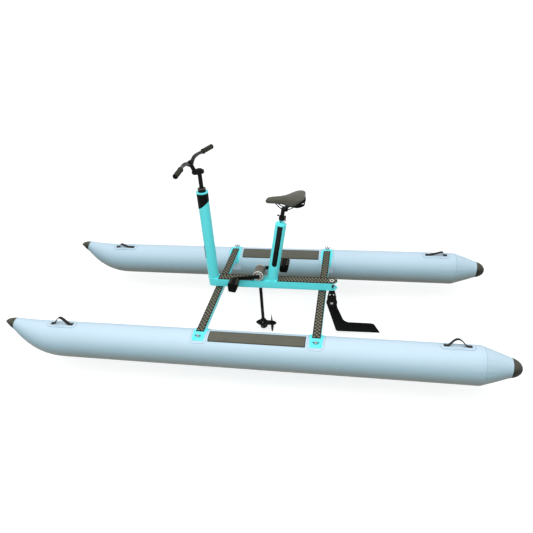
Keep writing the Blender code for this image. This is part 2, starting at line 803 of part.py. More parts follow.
def make_stud_patch(name, x, y, outboard):
    """The glued patch under a saddle, with its threaded stud."""
    rows = []
    for angle in angle_steps(PATCH_INBOARD, PATCH_OUTBOARD, SADDLE_STEP):
        past = max(0.0, angle - SADDLE_OUTBOARD) / (PATCH_OUTBOARD - SADDLE_OUTBOARD)
        rows.append((angle, PATCH_HALF_LENGTH + (PATCH_END_HALF_LENGTH - PATCH_HALF_LENGTH) * past))
    patch = piece(name, wrapped_sheet(rows, PATCH_RADIUS, outboard), "pale blue pvc", location=(x, y, 0))
    add_thickness(patch, PATCH_THICKNESS)
    stud = rod(STUD_RADIUS, PATCH_RADIUS + PATCH_THICKNESS / 2, FLOAT_RADIUS + STUD_LENGTH, TINY_SIDES)
    join(patch, stud, (x, y, 0), (-outboard * STUD_ANGLE, 0, 0))


def make_wing_nut(name, x, y, outboard):
    """A wing nut on its stud, turned about the stud's own axis."""
    turn = (-outboard * STUD_ANGLE, 0, 0)
    axis = axis_empty(f"{name}_axis", None, (x, y, 0), turn)
    base = SADDLE_OUTER_RADIUS + GAP
    bore = STUD_RADIUS + RUNNING_GAP
    top = base + NUT_HEIGHT
    profile = [(0.0062, top), (0.0090, base + 0.008), (0.0098, base), (bore, base), (bore, top)]
    nut = turned(name, profile, "bright steel", axis, steps=TINY_SIDES)
    wings = list(NUT_WINGS) + [(-wx, wz) for wx, wz in reversed(NUT_WINGS)]
    join(nut, plate([wings], NUT_WING_THICKNESS, upright=True), (0, 0, base))
    cut(nut, rod(bore, base - PIERCE, base + NUT_HEIGHT + PIERCE, TINY_SIDES))


def make_crossbar(name, x):
    """A box tube across the bike, coped round a welded saddle at each end."""
    height_middle = (CROSSBAR_TOP + CROSSBAR_BOTTOM) / 2
    bar_block = block((CROSSBAR_WIDTH, FLOAT_SPACING, CROSSBAR_HEIGHT))
    bar = piece(name, bar_block, "turquoise paint", location=(x, 0, height_middle))
    pad_height = BEAM_BOTTOM - GAP - CROSSBAR_TOP
    pad_block = block((PAD_BLOCK_LENGTH, PAD_BLOCK_WIDTH, pad_height + CROSSBAR_WALL))
    join(bar, pad_block, (x, 0, CROSSBAR_TOP + (pad_height - CROSSBAR_WALL) / 2))
    cavity_length = 2 * (FLOAT_Y - SADDLE_HALF_SPAN - CROSSBAR_WALL)
    cavity = (CROSSBAR_WIDTH - 2 * CROSSBAR_WALL, cavity_length, CROSSBAR_HEIGHT - 2 * CROSSBAR_WALL)
    cut(bar, block(cavity), (x, 0, height_middle))
    for outboard in (1, -1):
        y = outboard * FLOAT_Y
        along = (0, math.radians(90), 0)
        cope_radius = SADDLE_OUTER_RADIUS - SADDLE_THICKNESS / 2
        cope = rod(cope_radius, -CROSSBAR_WIDTH, CROSSBAR_WIDTH, 2 * FLOAT_SIDES)
        cut(bar, cope, (x, y, 0), along)
        angles = angle_steps(SADDLE_INBOARD, SADDLE_OUTBOARD, SADDLE_STEP)
        rows = [(angle, saddle_half(angle)) for angle in angles]
        saddle = guide(wrapped_sheet(rows, SADDLE_RADIUS, outboard), location=(x, y, 0))
        add_thickness(saddle, SADDLE_THICKNESS)
        combine(bar, saddle, "UNION")
        hole_radius = STUD_RADIUS + STUD_HOLE_CLEARANCE
        hole = rod(hole_radius, FLOAT_RADIUS - PIERCE, SADDLE_OUTER_RADIUS + PIERCE, TINY_SIDES)
        cut(bar, hole, (x, y, 0), (-outboard * STUD_ANGLE, 0, 0))
    cut(bar, rod(BOLT_RADIUS + GAP, CROSSBAR_BOTTOM - PIERCE, BEAM_BOTTOM + PIERCE, TINY_SIDES), (x, 0, 0))


def make_crossbar_grip(name, x):
    """The ribbed strip on a crossbar, with a window for the block under the beam."""
    half_x = CROSSBAR_WIDTH / 2 - GRIP_INSET
    half_y = FLOAT_Y - CROSSBAR_GRIP_END
    window_x = PAD_BLOCK_LENGTH / 2 + GAP
    window_y = PAD_BLOCK_WIDTH / 2 + GAP
    outer = [(-half_x, -half_y), (half_x, -half_y), (half_x, half_y), (-half_x, half_y)]
    window = [(-window_x, -window_y), (window_x, -window_y), (window_x, window_y), (-window_x, window_y)]
    sheet = plate([outer, window], GRIP_THICKNESS)
    piece(name, sheet, "ribbed grip", location=(x, 0, CROSSBAR_TOP + GAP + GRIP_THICKNESS / 2))


def make_crossbar_bolt(name, x):
    """The bolt that draws a crossbar up against the beam, with its nut inside the beam."""
    head_bottom = CROSSBAR_BOTTOM - GAP - BOLT_HEAD_HEIGHT
    nut_bottom = BEAM_BOTTOM + BEAM_WALL + GAP
    profile = [
        (0, nut_bottom + BOLT_NUT_HEIGHT),
        (BOLT_HEAD_RADIUS, nut_bottom + BOLT_NUT_HEIGHT),
        (BOLT_HEAD_RADIUS, nut_bottom),
        (BOLT_RADIUS, nut_bottom),
        (BOLT_RADIUS, CROSSBAR_BOTTOM - GAP),
        (BOLT_HEAD_RADIUS, CROSSBAR_BOTTOM - GAP),
        (BOLT_HEAD_RADIUS, head_bottom),
        (0, head_bottom),
    ]
    turned(name, profile, "bright steel", location=(x, 0, 0), steps=TINY_SIDES)


def stadium(radius):
    """The beam's outline seen from above, with half-round ends about the mast and the rudder shaft."""
    nose = circle(radius, (MAST_X, 0), END_STEPS, -math.pi / 2, math.pi / 2)
    tail = circle(radius, (RUDDER_X, 0), END_STEPS, math.pi / 2, 3 * math.pi / 2)
    return nose + tail


def make_beam():
    """The box beam: hollow, open at the rear between its two tongues."""
    half = BEAM_WIDTH / 2
    middle = (BEAM_BOTTOM + BEAM_TOP) / 2
    beam = piece("main_beam", plate([stadium(half)], BEAM_HEIGHT), "turquoise paint", location=(0, 0, middle))
    cavity = stadium(half - BEAM_WALL)
    rear = [point for point in cavity if point[0] > RUDDER_X]
    rear += [(RUDDER_X - 2 * half, half - BEAM_WALL), (RUDDER_X - 2 * half, BEAM_WALL - half)]
    hollow_bottom = BEAM_BOTTOM + BEAM_WALL
    hollow_top = BEAM_TOP - BEAM_WALL
    cut(beam, plate([rear], hollow_top - hollow_bottom), (0, 0, (hollow_bottom + hollow_top) / 2))
    mouth_height = BEAM_HEIGHT - 2 * TONGUE_THICKNESS
    cut(beam, block((2 * half, 2 * BEAM_WIDTH, mouth_height)), (RUDDER_X - half, 0, middle))
    cut(beam, rod(LEG_RADIUS + GAP, BEAM_BOTTOM - PIERCE, BEAM_TOP + PIERCE), (DRIVE_X, 0, 0))
    cut(beam, rod(DRUM_FLANGE_RADIUS + 0.001, middle, BEAM_TOP + PIERCE), (MAST_X, 0, 0))
    cut(beam, rod(BUSH_RADIUS + GAP, middle, BEAM_TOP + PIERCE, ROUND_SIDES), (RUDDER_X, 0, 0))
    shaft_hole = rod(RUDDER_SHAFT_RADIUS + RUNNING_GAP, BEAM_BOTTOM - PIERCE, middle, ROUND_SIDES)
    cut(beam, shaft_hole, (RUDDER_X, 0, 0))
    for x in (CROSSBAR_X, -CROSSBAR_X):
        cut(beam, rod(BOLT_RADIUS + GAP, BEAM_BOTTOM - PIERCE, middle, TINY_SIDES), (x, 0, 0))


def make_deck_grips():
    """The two ribbed sheets on the beam's top."""
    half = BEAM_WIDTH / 2 - GRIP_INSET
    place = (0, 0, BEAM_TOP + GAP + GRIP_THICKNESS / 2)
    front_start, front_end = FRONT_GRIP_X
    front = [(front_start, -half), (front_end, -half), (front_end, half), (front_start, half)]
    piece("front_deck_grip", plate([front], GRIP_THICKNESS), "ribbed grip", location=place)
    tail = circle(half, (RUDDER_X, 0), END_STEPS, math.pi / 2, 3 * math.pi / 2)
    rear = [(REAR_GRIP_START_X, -half), (REAR_GRIP_START_X, half)] + tail
    hole = circle(BUSH_FLANGE_RADIUS + 0.001, (RUDDER_X, 0), SMALL_SIDES)
    piece("rear_deck_grip", plate([rear, hole], GRIP_THICKNESS), "ribbed grip", location=place)


def make_mast():
    """The head tube and its two bearings."""
    base = BEAM_TOP + GAP
    seat_radius = BEARING_SPIGOT_RADIUS + GAP
    seat_bottom = MAST_TOP - BEARING_SPIGOT_DEPTH - 0.002
    flange_bottom = MAST_TOP - MAST_FLANGE_HEIGHT
    profile = [
        (MAST_FLANGE_RADIUS, MAST_TOP),
        (MAST_FLANGE_RADIUS, flange_bottom),
        (MAST_TOP_RADIUS, flange_bottom - 0.002),
        (MAST_BASE_RADIUS, base),
        (MAST_BASE_RADIUS - MAST_WALL, base),
        (MAST_TOP_RADIUS - MAST_WALL, seat_bottom - 0.003),
        (seat_radius, seat_bottom),
        (seat_radius, MAST_TOP),
    ]
    turned("head_tube", profile, "turquoise paint", location=(MAST_X, 0, 0), steps=TUBE_SIDES)
    bore = COLUMN_RADIUS + RUNNING_GAP
    collar_bottom = MAST_TOP + GAP
    collar = [
        (BEARING_RADIUS - 0.002, MAST_TOP + BEARING_HEIGHT),
        (BEARING_RADIUS, MAST_TOP + BEARING_HEIGHT - 0.002),
        (BEARING_RADIUS, collar_bottom),
        (BEARING_SPIGOT_RADIUS, collar_bottom),
        (BEARING_SPIGOT_RADIUS, MAST_TOP - BEARING_SPIGOT_DEPTH),
        (bore, MAST_TOP - BEARING_SPIGOT_DEPTH),
        (bore, MAST_TOP + BEARING_HEIGHT),
    ]
    turned("upper_steering_bearing", collar, "black paint", location=(MAST_X, 0, 0))
    low = base + LOWER_BEARING_LIFT
    high = low + LOWER_BEARING_HEIGHT
    inner_slope = (MAST_BASE_RADIUS - MAST_TOP_RADIUS) / (MAST_TOP - base)
    outer = MAST_BASE_RADIUS - MAST_WALL - inner_slope * (high - base) - GAP
    lower = [(outer, high), (outer, low), (bore, low), (bore, high)]
    turned("lower_steering_bearing", lower, "grey alloy", location=(MAST_X, 0, 0), steps=TUBE_SIDES)


def drum_profile(top, bottom):
    """The grooved drum that the steering cable runs round, down its outer side."""
    return [
        (DRUM_FLANGE_RADIUS, top),
        (DRUM_FLANGE_RADIUS, top - DRUM_FLANGE),
        (DRUM_RADIUS, top - DRUM_FLANGE),
        (DRUM_RADIUS, bottom + DRUM_FLANGE),
        (DRUM_FLANGE_RADIUS, bottom + DRUM_FLANGE),
        (DRUM_FLANGE_RADIUS, bottom),
    ]


def make_steering():
    """The column, the stem, the handlebar and the hand grips."""
    axis = axis_empty("steering_axis", None, (MAST_X, 0, 0), (0, 0, STEERING_REST_YAW))
    top = DRUM_MIDDLE + DRUM_HALF_HEIGHT + DRUM_FLANGE
    bottom = DRUM_MIDDLE - DRUM_HALF_HEIGHT - DRUM_FLANGE
    bore = COLUMN_RADIUS - COLUMN_WALL
    drum_bore = DRUM_RADIUS / 2
    profile = [(COLUMN_RADIUS, COLUMN_TOP), (COLUMN_RADIUS, top)] + drum_profile(top, bottom)
    profile += [(drum_bore, bottom), (drum_bore, top + 0.010), (bore, top + 0.018), (bore, COLUMN_TOP)]
    turned("steering_column", profile, "black paint", axis, steps=ROUND_SIDES)
    make_stem_body(axis)
    tilt = axis_empty("stem_tilt_axis", axis, STEM_PIVOT)
    make_stem_arm(tilt)
    make_handlebar(tilt)


def make_stem_body(axis):
    """The part of the stem that is clamped on the column, with the pivot pin through its ears."""
    bore = COLUMN_RADIUS + GAP
    roof = COLUMN_TOP + GAP
    edge = 0.002
    profile = [
        (0, STEM_BODY_TOP),
        (STEM_BODY_RADIUS - edge, STEM_BODY_TOP),
        (STEM_BODY_RADIUS, STEM_BODY_TOP - edge),
        (STEM_BODY_RADIUS, STEM_BODY_BOTTOM + edge),
        (STEM_BODY_RADIUS - edge, STEM_BODY_BOTTOM),
        (0, STEM_BODY_BOTTOM),
    ]
    body = turned("stem_body", profile, "black paint", axis)
    reach = STEM_PIVOT.x - bore - edge
    ears = plate([link_outline(STEM_EAR_RADIUS, STEM_EAR_RADIUS * 0.9, reach)], STEM_EARS_WIDTH, upright=True)
    join(body, ears, STEM_PIVOT, (0, math.radians(180), 0))
    lying = (math.radians(90), 0, 0)
    slot = STEM_ARM_WIDTH + 2 * RUNNING_GAP
    cut(body, rod(STEM_EYE_RADIUS + 0.001, -slot / 2, slot / 2, ROUND_SIDES), STEM_PIVOT, lying)
    room = STEM_NECK_ROOM
    cut(body, block((room.x, slot, room.z), STEM_NECK_ROOM_START + room / 2), STEM_PIVOT)
    cut(body, rod(bore, STEM_PIVOT.z - 2 * STEM_EAR_RADIUS, roof))
    pin = pin_with_heads(STEM_PIN_RADIUS, STEM_PIN_HEAD_RADIUS, STEM_EARS_WIDTH, STEM_PIN_HEAD)
    join(body, pin, STEM_PIVOT, lying)


def forked_link(name, parent, turn, radii, length, width, fork_gap, fork_radius, pin_radius, finish_name):
    """An arm from its pivot along X, forked round the pivot and bored for its pin."""
    shape = plate([link_outline(*radii, length)], width, upright=True)
    arm = piece(name, shape, finish_name, parent, rotation=(0, turn, 0))
    lying = (math.radians(90), 0, 0)
    cut(arm, rod(fork_radius, -fork_gap / 2, fork_gap / 2), rotation=lying)
    cut(arm, rod(pin_radius + RUNNING_GAP, -width, width, TINY_SIDES), rotation=lying)
    return arm


def make_stem_arm(tilt):
    """The arm that tilts on the stem's pin and holds the handlebar."""
    reach = BAR_CLAMP - STEM_PIVOT
    turn = -math.atan2(reach.z, reach.x)
    lying = (math.radians(90), 0, 0)
    neck_outline = link_outline(STEM_EYE_RADIUS, STEM_EYE_RADIUS * 0.95, reach.length)
    neck = plate([neck_outline], STEM_ARM_WIDTH, upright=True)
    arm = piece("stem_arm", neck, "black paint", tilt, rotation=(0, turn, 0))
    join(arm, rod(STEM_CLAMP_RADIUS, -STEM_CLAMP_WIDTH / 2, STEM_CLAMP_WIDTH / 2), reach, lying)
    cut(arm, rod(STEM_PIN_RADIUS + RUNNING_GAP, -STEM_ARM_WIDTH, STEM_ARM_WIDTH, TINY_SIDES), rotation=lying)
    cut(arm, rod(BAR_CLAMP_RADIUS + GAP, -STEM_CLAMP_WIDTH, STEM_CLAMP_WIDTH), reach, lying)


def make_handlebar(tilt):
    """The riser bar and the two rubber grips on its ends."""
    clamp = BAR_CLAMP - STEM_PIVOT
    bar_end = GRIP_END - (GRIP_END - GRIP_START).normalized() * (HAND_GRIP_END_WALL + GAP)
    side = [Vector((0, BAR_HALF_CLAMP, 0)), Vector((0, BAR_HALF_CLAMP + 0.009, 0.0025))]
    side += [Vector(point) for point in BAR_BENDS] + [GRIP_START, bar_end]
    thick = BAR_CLAMP_RADIUS / BAR_RADIUS
    starboard = [Vector((point.x, -point.y, point.z)) for point in reversed(side)]
    factors = [1.0] * (len(side) - 1) + [thick, thick] + [1.0] * (len(side) - 1)
    bar = tube(starboard + side, BAR_RADIUS, 2, factors)
    piece("handlebar", bar, "black paint", tilt, clamp)
    for name, outboard in (("grip_port", 1), ("grip_starboard", -1)):
        start = Vector((GRIP_START.x, outboard * GRIP_START.y, GRIP_START.z))
        end = Vector((GRIP_END.x, outboard * GRIP_END.y, GRIP_END.z))
        run = end - start
        bore = BAR_RADIUS + GAP
        length = run.length
        edge = 0.002
        profile = [
            (0, length),
            (HAND_GRIP_RADIUS - edge, length),
            (HAND_GRIP_RADIUS, length - edge),
            (HAND_GRIP_RADIUS, HAND_GRIP_COLLAR),
            (HAND_GRIP_COLLAR_RADIUS, HAND_GRIP_COLLAR),
            (HAND_GRIP_COLLAR_RADIUS, 0),
            (bore, 0),
            (bore, length - HAND_GRIP_END_WALL),
            (0, length - HAND_GRIP_END_WALL),
        ]
        turn = Vector((0, 0, 1)).rotation_difference(run).to_euler()
        turned(name, profile, "black plastic", tilt, clamp + start, turn)


def make_cable():
    """The crossed steering cable: round both drums, past the drive leg and over itself."""
    points = []
    wrap = 14
    lead = 0.06
    for i in range(wrap + 1):
        angle = -math.pi / 2 + math.pi * i / wrap
        x = MAST_X + DRUM_CABLE_RADIUS * math.cos(angle)
        y = DRUM_CABLE_RADIUS * math.sin(angle)
        points.append((x, y, DRUM_MIDDLE + CABLE_RISE * math.sin(angle)))
    cross_start, cross_end = CABLE_CROSSING_X
    strand = [(MAST_X - lead, CABLE_SPREAD), (cross_start, CABLE_SPREAD)]
    crossing_steps = 8
    for i in range(1, crossing_steps + 1):
        share = i / crossing_steps
        x = cross_start + (cross_end - cross_start) * share
        middle = (CABLE_SPREAD - DRUM_CABLE_RADIUS) / 2
        y = middle + (CABLE_SPREAD - middle) * math.cos(math.pi * share)
        strand.append((x, y))
    points += [(x, y, DRUM_MIDDLE + CABLE_RISE) for x, y in strand]
    for i in range(wrap + 1):
        angle = -math.pi / 2 - math.pi * i / wrap
        x = RUDDER_X + DRUM_CABLE_RADIUS * math.cos(angle)
        y = DRUM_CABLE_RADIUS * math.sin(angle)
        points.append((x, y, DRUM_MIDDLE - CABLE_RISE * math.sin(angle)))
    points += [(x, -y, DRUM_MIDDLE - CABLE_RISE) for x, y in reversed(strand)]
    piece("steering_cable", tube(points, CABLE_RADIUS, 0, closed=True), "bright steel")


def make_seat():
    """The seat tube, the clamp with its lever, the post, the rails and the saddle."""
    axis = axis_empty("seat_axis", None, (SEAT_TUBE_X, 0, BEAM_TOP), (0, SEAT_TUBE_LEAN, 0))
    bore = SEAT_POST_RADIUS + RUNNING_GAP
    below = -0.02
    shoulder = SEAT_TUBE_LENGTH
    profile = [
        (SEAT_NECK_RADIUS, SEAT_NECK_TOP),
        (SEAT_NECK_RADIUS, shoulder + SEAT_SHOULDER),
        (SEAT_TUBE_RADIUS - 0.003, shoulder),
        (SEAT_TUBE_RADIUS, shoulder - 0.003),
        (SEAT_TUBE_RADIUS, below),
        (SEAT_TUBE_RADIUS - SEAT_TUBE_WALL, below),
        (SEAT_TUBE_RADIUS - SEAT_TUBE_WALL, shoulder - 0.008),
        (bore, shoulder - 0.004),
        (bore, SEAT_NECK_TOP),
    ]
    seat_tube = turned("seat_tube", profile, "turquoise paint", axis, steps=TUBE_SIDES)
    floor_block = guide(block((0.3, 0.3, 0.2)), location=(SEAT_TUBE_X, 0, BEAM_TOP + GAP - 0.1))
    combine(seat_tube, floor_block, "DIFFERENCE")
    make_seat_clamp(axis)
    slide = axis_empty("seat_post_axis", axis)
    post = piece("seat_post", rod(SEAT_POST_RADIUS, SEAT_POST_BOTTOM, SEAT_POST_TOP), "black paint", slide)
    lying = (math.radians(90), 0, 0)
    join(post, rod(POST_HEAD_RADIUS, -POST_HEAD_WIDTH / 2, POST_HEAD_WIDTH / 2), SADDLE_PIVOT, lying)
    pin_hole = rod(TILT_PIN_RADIUS + RUNNING_GAP, -POST_HEAD_WIDTH, POST_HEAD_WIDTH, SMALL_SIDES)
    cut(post, pin_hole, SADDLE_PIVOT, lying)
    tilt = axis_empty("saddle_tilt_axis", slide, SADDLE_PIVOT, (0, -SEAT_TUBE_LEAN, 0))
    make_rails(tilt)
    make_saddle(tilt)


def make_seat_clamp(axis):
    """The clamp collar with its skewer, and the lever on the skewer's cross pin."""
    inner = SEAT_NECK_RADIUS + GAP
    top = SEAT_CLAMP_BOTTOM + SEAT_CLAMP_HEIGHT
    middle = SEAT_CLAMP_BOTTOM + SEAT_CLAMP_HEIGHT / 2
    lip = SEAT_POST_RADIUS + RUNNING_GAP
    lip_bottom = SEAT_NECK_TOP + GAP
    profile = [
        (SEAT_CLAMP_RADIUS, top),
        (SEAT_CLAMP_RADIUS, SEAT_CLAMP_BOTTOM),
        (inner, SEAT_CLAMP_BOTTOM),
        (inner, lip_bottom),
        (lip, lip_bottom),
        (lip, top),
    ]
    clamp = turned("seat_clamp", profile, "black paint", axis)
    skewer_y = -SEAT_CLAMP_RADIUS - SEAT_CLAMP_LUG / 2
    lug_block = block((0.022, SEAT_CLAMP_LUG + 0.004, 0.016), (0, skewer_y + 0.002, middle))
    join(clamp, lug_block)
    slit_depth = SEAT_CLAMP_LUG + SEAT_CLAMP_RADIUS - inner + 0.006
    slit_y = -inner - slit_depth / 2 + 0.002
    cut(clamp, block((SEAT_CLAMP_SLIT, slit_depth, 2 * SEAT_CLAMP_HEIGHT), (0, slit_y, middle)))
    pivot_x = -0.0195
    knob_end = 0.0235
    knob_start = knob_end - SKEWER_KNOB
    skewer = [
        (0, knob_end),
        (SKEWER_KNOB_RADIUS, knob_end),
        (SKEWER_KNOB_RADIUS, knob_start),
        (SKEWER_RADIUS, knob_start),
        (SKEWER_RADIUS, pivot_x - 0.0015),
        (0, pivot_x - 0.0015),
    ]
    join(clamp, turned_mesh(skewer, TINY_SIDES), (0, skewer_y, middle), (0, math.radians(90), 0))
    pin_length = LEVER_WIDTH + 0.002
    pin = rod(LEVER_PIN_RADIUS, -pin_length / 2, pin_length / 2, TINY_SIDES)
    join(clamp, pin, (pivot_x, skewer_y, middle), (math.radians(90), 0, 0))
    lever_axis = axis_empty("seat_lever_axis", axis, (pivot_x, skewer_y, middle))
    lever_radii = (LEVER_PIVOT_RADIUS, 0.0035)
    fork_width = 2 * (SKEWER_RADIUS + RUNNING_GAP)
    fork_depth = LEVER_PIVOT_RADIUS + 0.002
    forked_link(
        "seat_clamp_lever", lever_axis, math.radians(97), lever_radii, LEVER_LENGTH, LEVER_WIDTH,
        fork_width, fork_depth, LEVER_PIN_RADIUS, "bright steel",
    )


def rail_points(side):
    """One saddle rail's route about the tilt pin."""
    return [Vector((x, side * y, z)) for x, y, z in RAIL_ROUTE]


def make_rails(tilt):
    """The saddle rails with the clamp cheeks and the tilt pin that joins them."""
    rails = piece("saddle_rails", tube(rail_points(1), RAIL_RADIUS, 1), "black paint", tilt)
    join(rails, tube(rail_points(-1), RAIL_RADIUS, 1))
    lying = (math.radians(90), 0, 0)
    cheek_start = POST_HEAD_WIDTH / 2 + RUNNING_GAP
    for side in (1, -1):
        low, high = sorted((side * cheek_start, side * (cheek_start + RAIL_CHEEK)))
        join(rails, rod(RAIL_CHEEK_RADIUS, low, high, SMALL_SIDES), rotation=lying)
    join(rails, rod(TILT_PIN_RADIUS, -cheek_start - 0.004, cheek_start + 0.004, SMALL_SIDES), rotation=lying)


def saddle_ring(half, top, skirt):
    """One section of the saddle's cage, from the crown round the skirt's rim to the hollow underside."""
    shoulder = (SADDLE_SHOULDER * half, top - SADDLE_SHOULDER_DROP)
    edge = (half, top - SADDLE_EDGE_DROP)
    rim = (SADDLE_RIM * half, skirt)
    rim_inside = (SADDLE_RIM_INSIDE * half, skirt + SADDLE_RIM_LIFT)
    ceiling = max(skirt + 2 * SADDLE_RIM_LIFT, top - SADDLE_PAD_DEPTH)
    under = (0.55 * half, ceiling)
    right = [shoulder, edge, rim, rim_inside, under]
    left = [(-y, z) for y, z in reversed(right)]
    return [(0.0, top)] + right + [(0.0, ceiling)] + left


def make_saddle(tilt):
    """The padded saddle: a cage of sections, smoothed, with a socket for each rail end."""
    bm = bmesh.new()
    loops = []
    for x, half, top, skirt in SADDLE_SECTIONS:
        loops.append([bm.verts.new((x, y, z)) for y, z in saddle_ring(half, top, skirt)])
    for first, second in zip(loops, loops[1:]):
        for i in range(len(first)):
            j = (i + 1) % len(first)
            bm.faces.new((first[i], first[j], second[j], second[i]))
    bm.faces.new(loops[0])
    bm.faces.new(loops[-1])
    bmesh.ops.recalc_face_normals(bm, faces=bm.faces)
    saddle = piece("saddle", finished_mesh(bm), "saddle cover", tilt)
    smooth = saddle.modifiers.new("smooth", "SUBSURF")
    smooth.levels = 1
    smooth.render_levels = 1
    for side in (1, -1):
        points = rail_points(side)
        for tip, inner in ((points[0], points[1]), (points[-1], points[-2])):
            beyond = tip + (tip - inner).normalized() * GAP
            cut(saddle, tube([beyond, inner], RAIL_RADIUS + 2 * GAP, 1))


def make_housing():
    """The gear housing on its base block."""
    axis_place = (DRIVE_X, 0, CRANK_HEIGHT)
    lying = (math.radians(90), 0, 0)
    shell = rod(HOUSING_RADIUS, -HOUSING_HALF_LENGTH, HOUSING_HALF_LENGTH, TUBE_SIDES)
    housing = piece("gear_housing", shell, "grey alloy", location=axis_place, rotation=lying)
    base_bottom = BEAM_TOP + GAP
    base_top = CRANK_HEIGHT - HOUSING_RADIUS * 0.6
    base = block((BASE_LENGTH, BASE_WIDTH, base_top - base_bottom))
    join(housing, base, (DRIVE_X, 0, (base_bottom + base_top) / 2))
    inner = HOUSING_HALF_LENGTH - HOUSING_WALL
    cut(housing, rod(HOUSING_RADIUS - HOUSING_WALL, -inner, inner, TUBE_SIDES), axis_place, lying)
    cut(housing, rod(SPINDLE_RADIUS + RUNNING_GAP, -2 * inner, 2 * inner), axis_place, lying)
    leg_hole = rod(LEG_RADIUS + GAP, base_bottom - PIERCE, CRANK_HEIGHT - HOUSING_RADIUS / 2)
    cut(housing, leg_hole, (DRIVE_X, 0, 0))


def make_cranks():
    """The spindle with its crown gear, the crank arms with the pedal axles, and the pedals."""
    axis = axis_empty("crank_axis", None, (DRIVE_X, 0, CRANK_HEIGHT), (0, CRANK_REST_ANGLE, 0))
    slope = 1 / UPPER_RATIO
    face_inner = SPINDLE_RADIUS * slope + GAP + 0.0001
    face_outer = CROWN_RADIUS * slope + GAP + 0.0001
    profile = [
        (0, SPINDLE_HALF_LENGTH),
        (SPINDLE_RADIUS, SPINDLE_HALF_LENGTH),
        (SPINDLE_RADIUS, CROWN_HUB_BACK),
        (CROWN_RADIUS, CROWN_BACK),
        (CROWN_RADIUS, face_outer),
        (SPINDLE_RADIUS, face_inner),
        (SPINDLE_RADIUS, -SPINDLE_HALF_LENGTH),
        (0, -SPINDLE_HALF_LENGTH),
    ]
    turned("crank_spindle", profile, "bright steel", axis, rotation=(math.radians(-90), 0, 0))
    arm_y = CRANK_OUTER_Y - CRANK_THICKNESS / 2
    outline = link_outline(CRANK_BOSS_RADIUS, CRANK_EYE_RADIUS, CRANK_LENGTH)
    bore = circle(SPINDLE_RADIUS + GAP, sides=ROUND_SIDES)
    for name, outboard, pitch in (("port", 1, PORT_PEDAL_PITCH), ("starboard", -1, STARBOARD_PEDAL_PITCH)):
        turn = (0, 0 if outboard > 0 else math.pi, 0)
        shape = plate([outline, bore], CRANK_THICKNESS, upright=True)
        arm = piece(f"crank_{name}", shape, "black paint", axis, (0, outboard * arm_y, 0), turn)
        axle_start, axle_end = sorted((arm_y, CRANK_OUTER_Y + PEDAL_AXLE_LENGTH))
        axle = rod(PEDAL_AXLE_RADIUS, axle_start, axle_end, TINY_SIDES)
        join(arm, axle, (outboard * CRANK_LENGTH, 0, 0), (-outboard * math.radians(90), 0, 0))
        pedal_axis = axis_empty(
            f"pedal_{name}_axis", axis, (outboard * CRANK_LENGTH, 0, 0), (0, pitch - CRANK_REST_ANGLE, 0)
        )
        make_pedal(f"pedal_{name}", pedal_axis, outboard)


def make_pedal(name, axis, outboard):
    """A block pedal that hangs below its axle, with two windows through it."""
    inner_y = CRANK_OUTER_Y + 0.002
    middle_y = outboard * (inner_y + PEDAL_WIDTH / 2)
    half_x = PEDAL_LENGTH / 2
    half_z = PEDAL_HEIGHT / 2
    foot_x = half_x - PEDAL_TAPER
    side_view = []
    for x, z in ((half_x, half_z), (-half_x, half_z), (-foot_x, -half_z), (foot_x, -half_z)):
        near_x = x - math.copysign(PEDAL_CHAMFER, x)
        near_z = z - math.copysign(PEDAL_CHAMFER, z)
        corner = [(x, near_z), (near_x, z)]
        side_view += corner if x * z > 0 else corner[::-1]
    slab = plate([side_view], PEDAL_WIDTH, upright=True)
    pedal = piece(name, slab, "black plastic", axis, (0, middle_y, -PEDAL_DROP))
    window_start, window_end = PEDAL_WINDOW_X
    window = block((window_end - window_start, 2 * PEDAL_WINDOW_HALF_WIDTH, 2 * PEDAL_HEIGHT))
    for end in (1, -1):
        cut(pedal, window, (end * (window_start + window_end) / 2, middle_y, 0))
    low = inner_y - PIERCE
    high = CRANK_OUTER_Y + PEDAL_AXLE_LENGTH + GAP
    bore = rod(PEDAL_AXLE_RADIUS + RUNNING_GAP, low, high, TINY_SIDES)
    cut(pedal, bore, rotation=(-outboard * math.radians(90), 0, 0))


def make_leg():
    """The drive leg with its gear pod, bored for both shafts."""
    top = BEAM_TOP + GAP + 0.016
    leg = piece("drive_leg", rod(LEG_RADIUS, PROP_HEIGHT, top), "black paint", location=(DRIVE_X, 0, 0))
    boss = [
        (0, POD_BOSS_TOP),
        (LEG_RADIUS + 0.002, POD_BOSS_TOP),
        (POD_BOSS_RADIUS, POD_BOSS_TOP - 0.010),
        (POD_BOSS_RADIUS, POD_BOSS_BOTTOM + 0.010),
        (POD_BOSS_RADIUS - 0.006, POD_BOSS_BOTTOM + 0.002),
        (0, POD_BOSS_BOTTOM),
    ]
    place = (DRIVE_X, 0, PROP_HEIGHT)
    join(leg, turned_mesh(boss), place)
    pod = [(radius, height) for height, radius in POD_NOSE] + [(POD_TAIL_RADIUS, POD_TAIL), (0, POD_TAIL)]
    forward = (0, math.radians(90), 0)
    join(leg, turned_mesh(pod), place, forward)
    cavity_bottom, cavity_top = POD_CAVITY
    cut(leg, rod(POD_CAVITY_RADIUS, cavity_bottom, cavity_top), place)
    shaft_bore = rod(DRIVE_SHAFT_RADIUS + RUNNING_GAP, 0, top - PROP_HEIGHT + PIERCE, SMALL_SIDES)
    cut(leg, shaft_bore, place)
    gear_bore = rod(PROP_GEAR_RADIUS + 0.001, -PROP_GEAR_RADIUS * LOWER_RATIO - 0.005, 0, SMALL_SIDES)
    cut(leg, gear_bore, place, forward)
    cut(leg, rod(PROP_SHAFT_RADIUS + RUNNING_GAP, POD_TAIL - PIERCE, 0, SMALL_SIDES), place, forward)


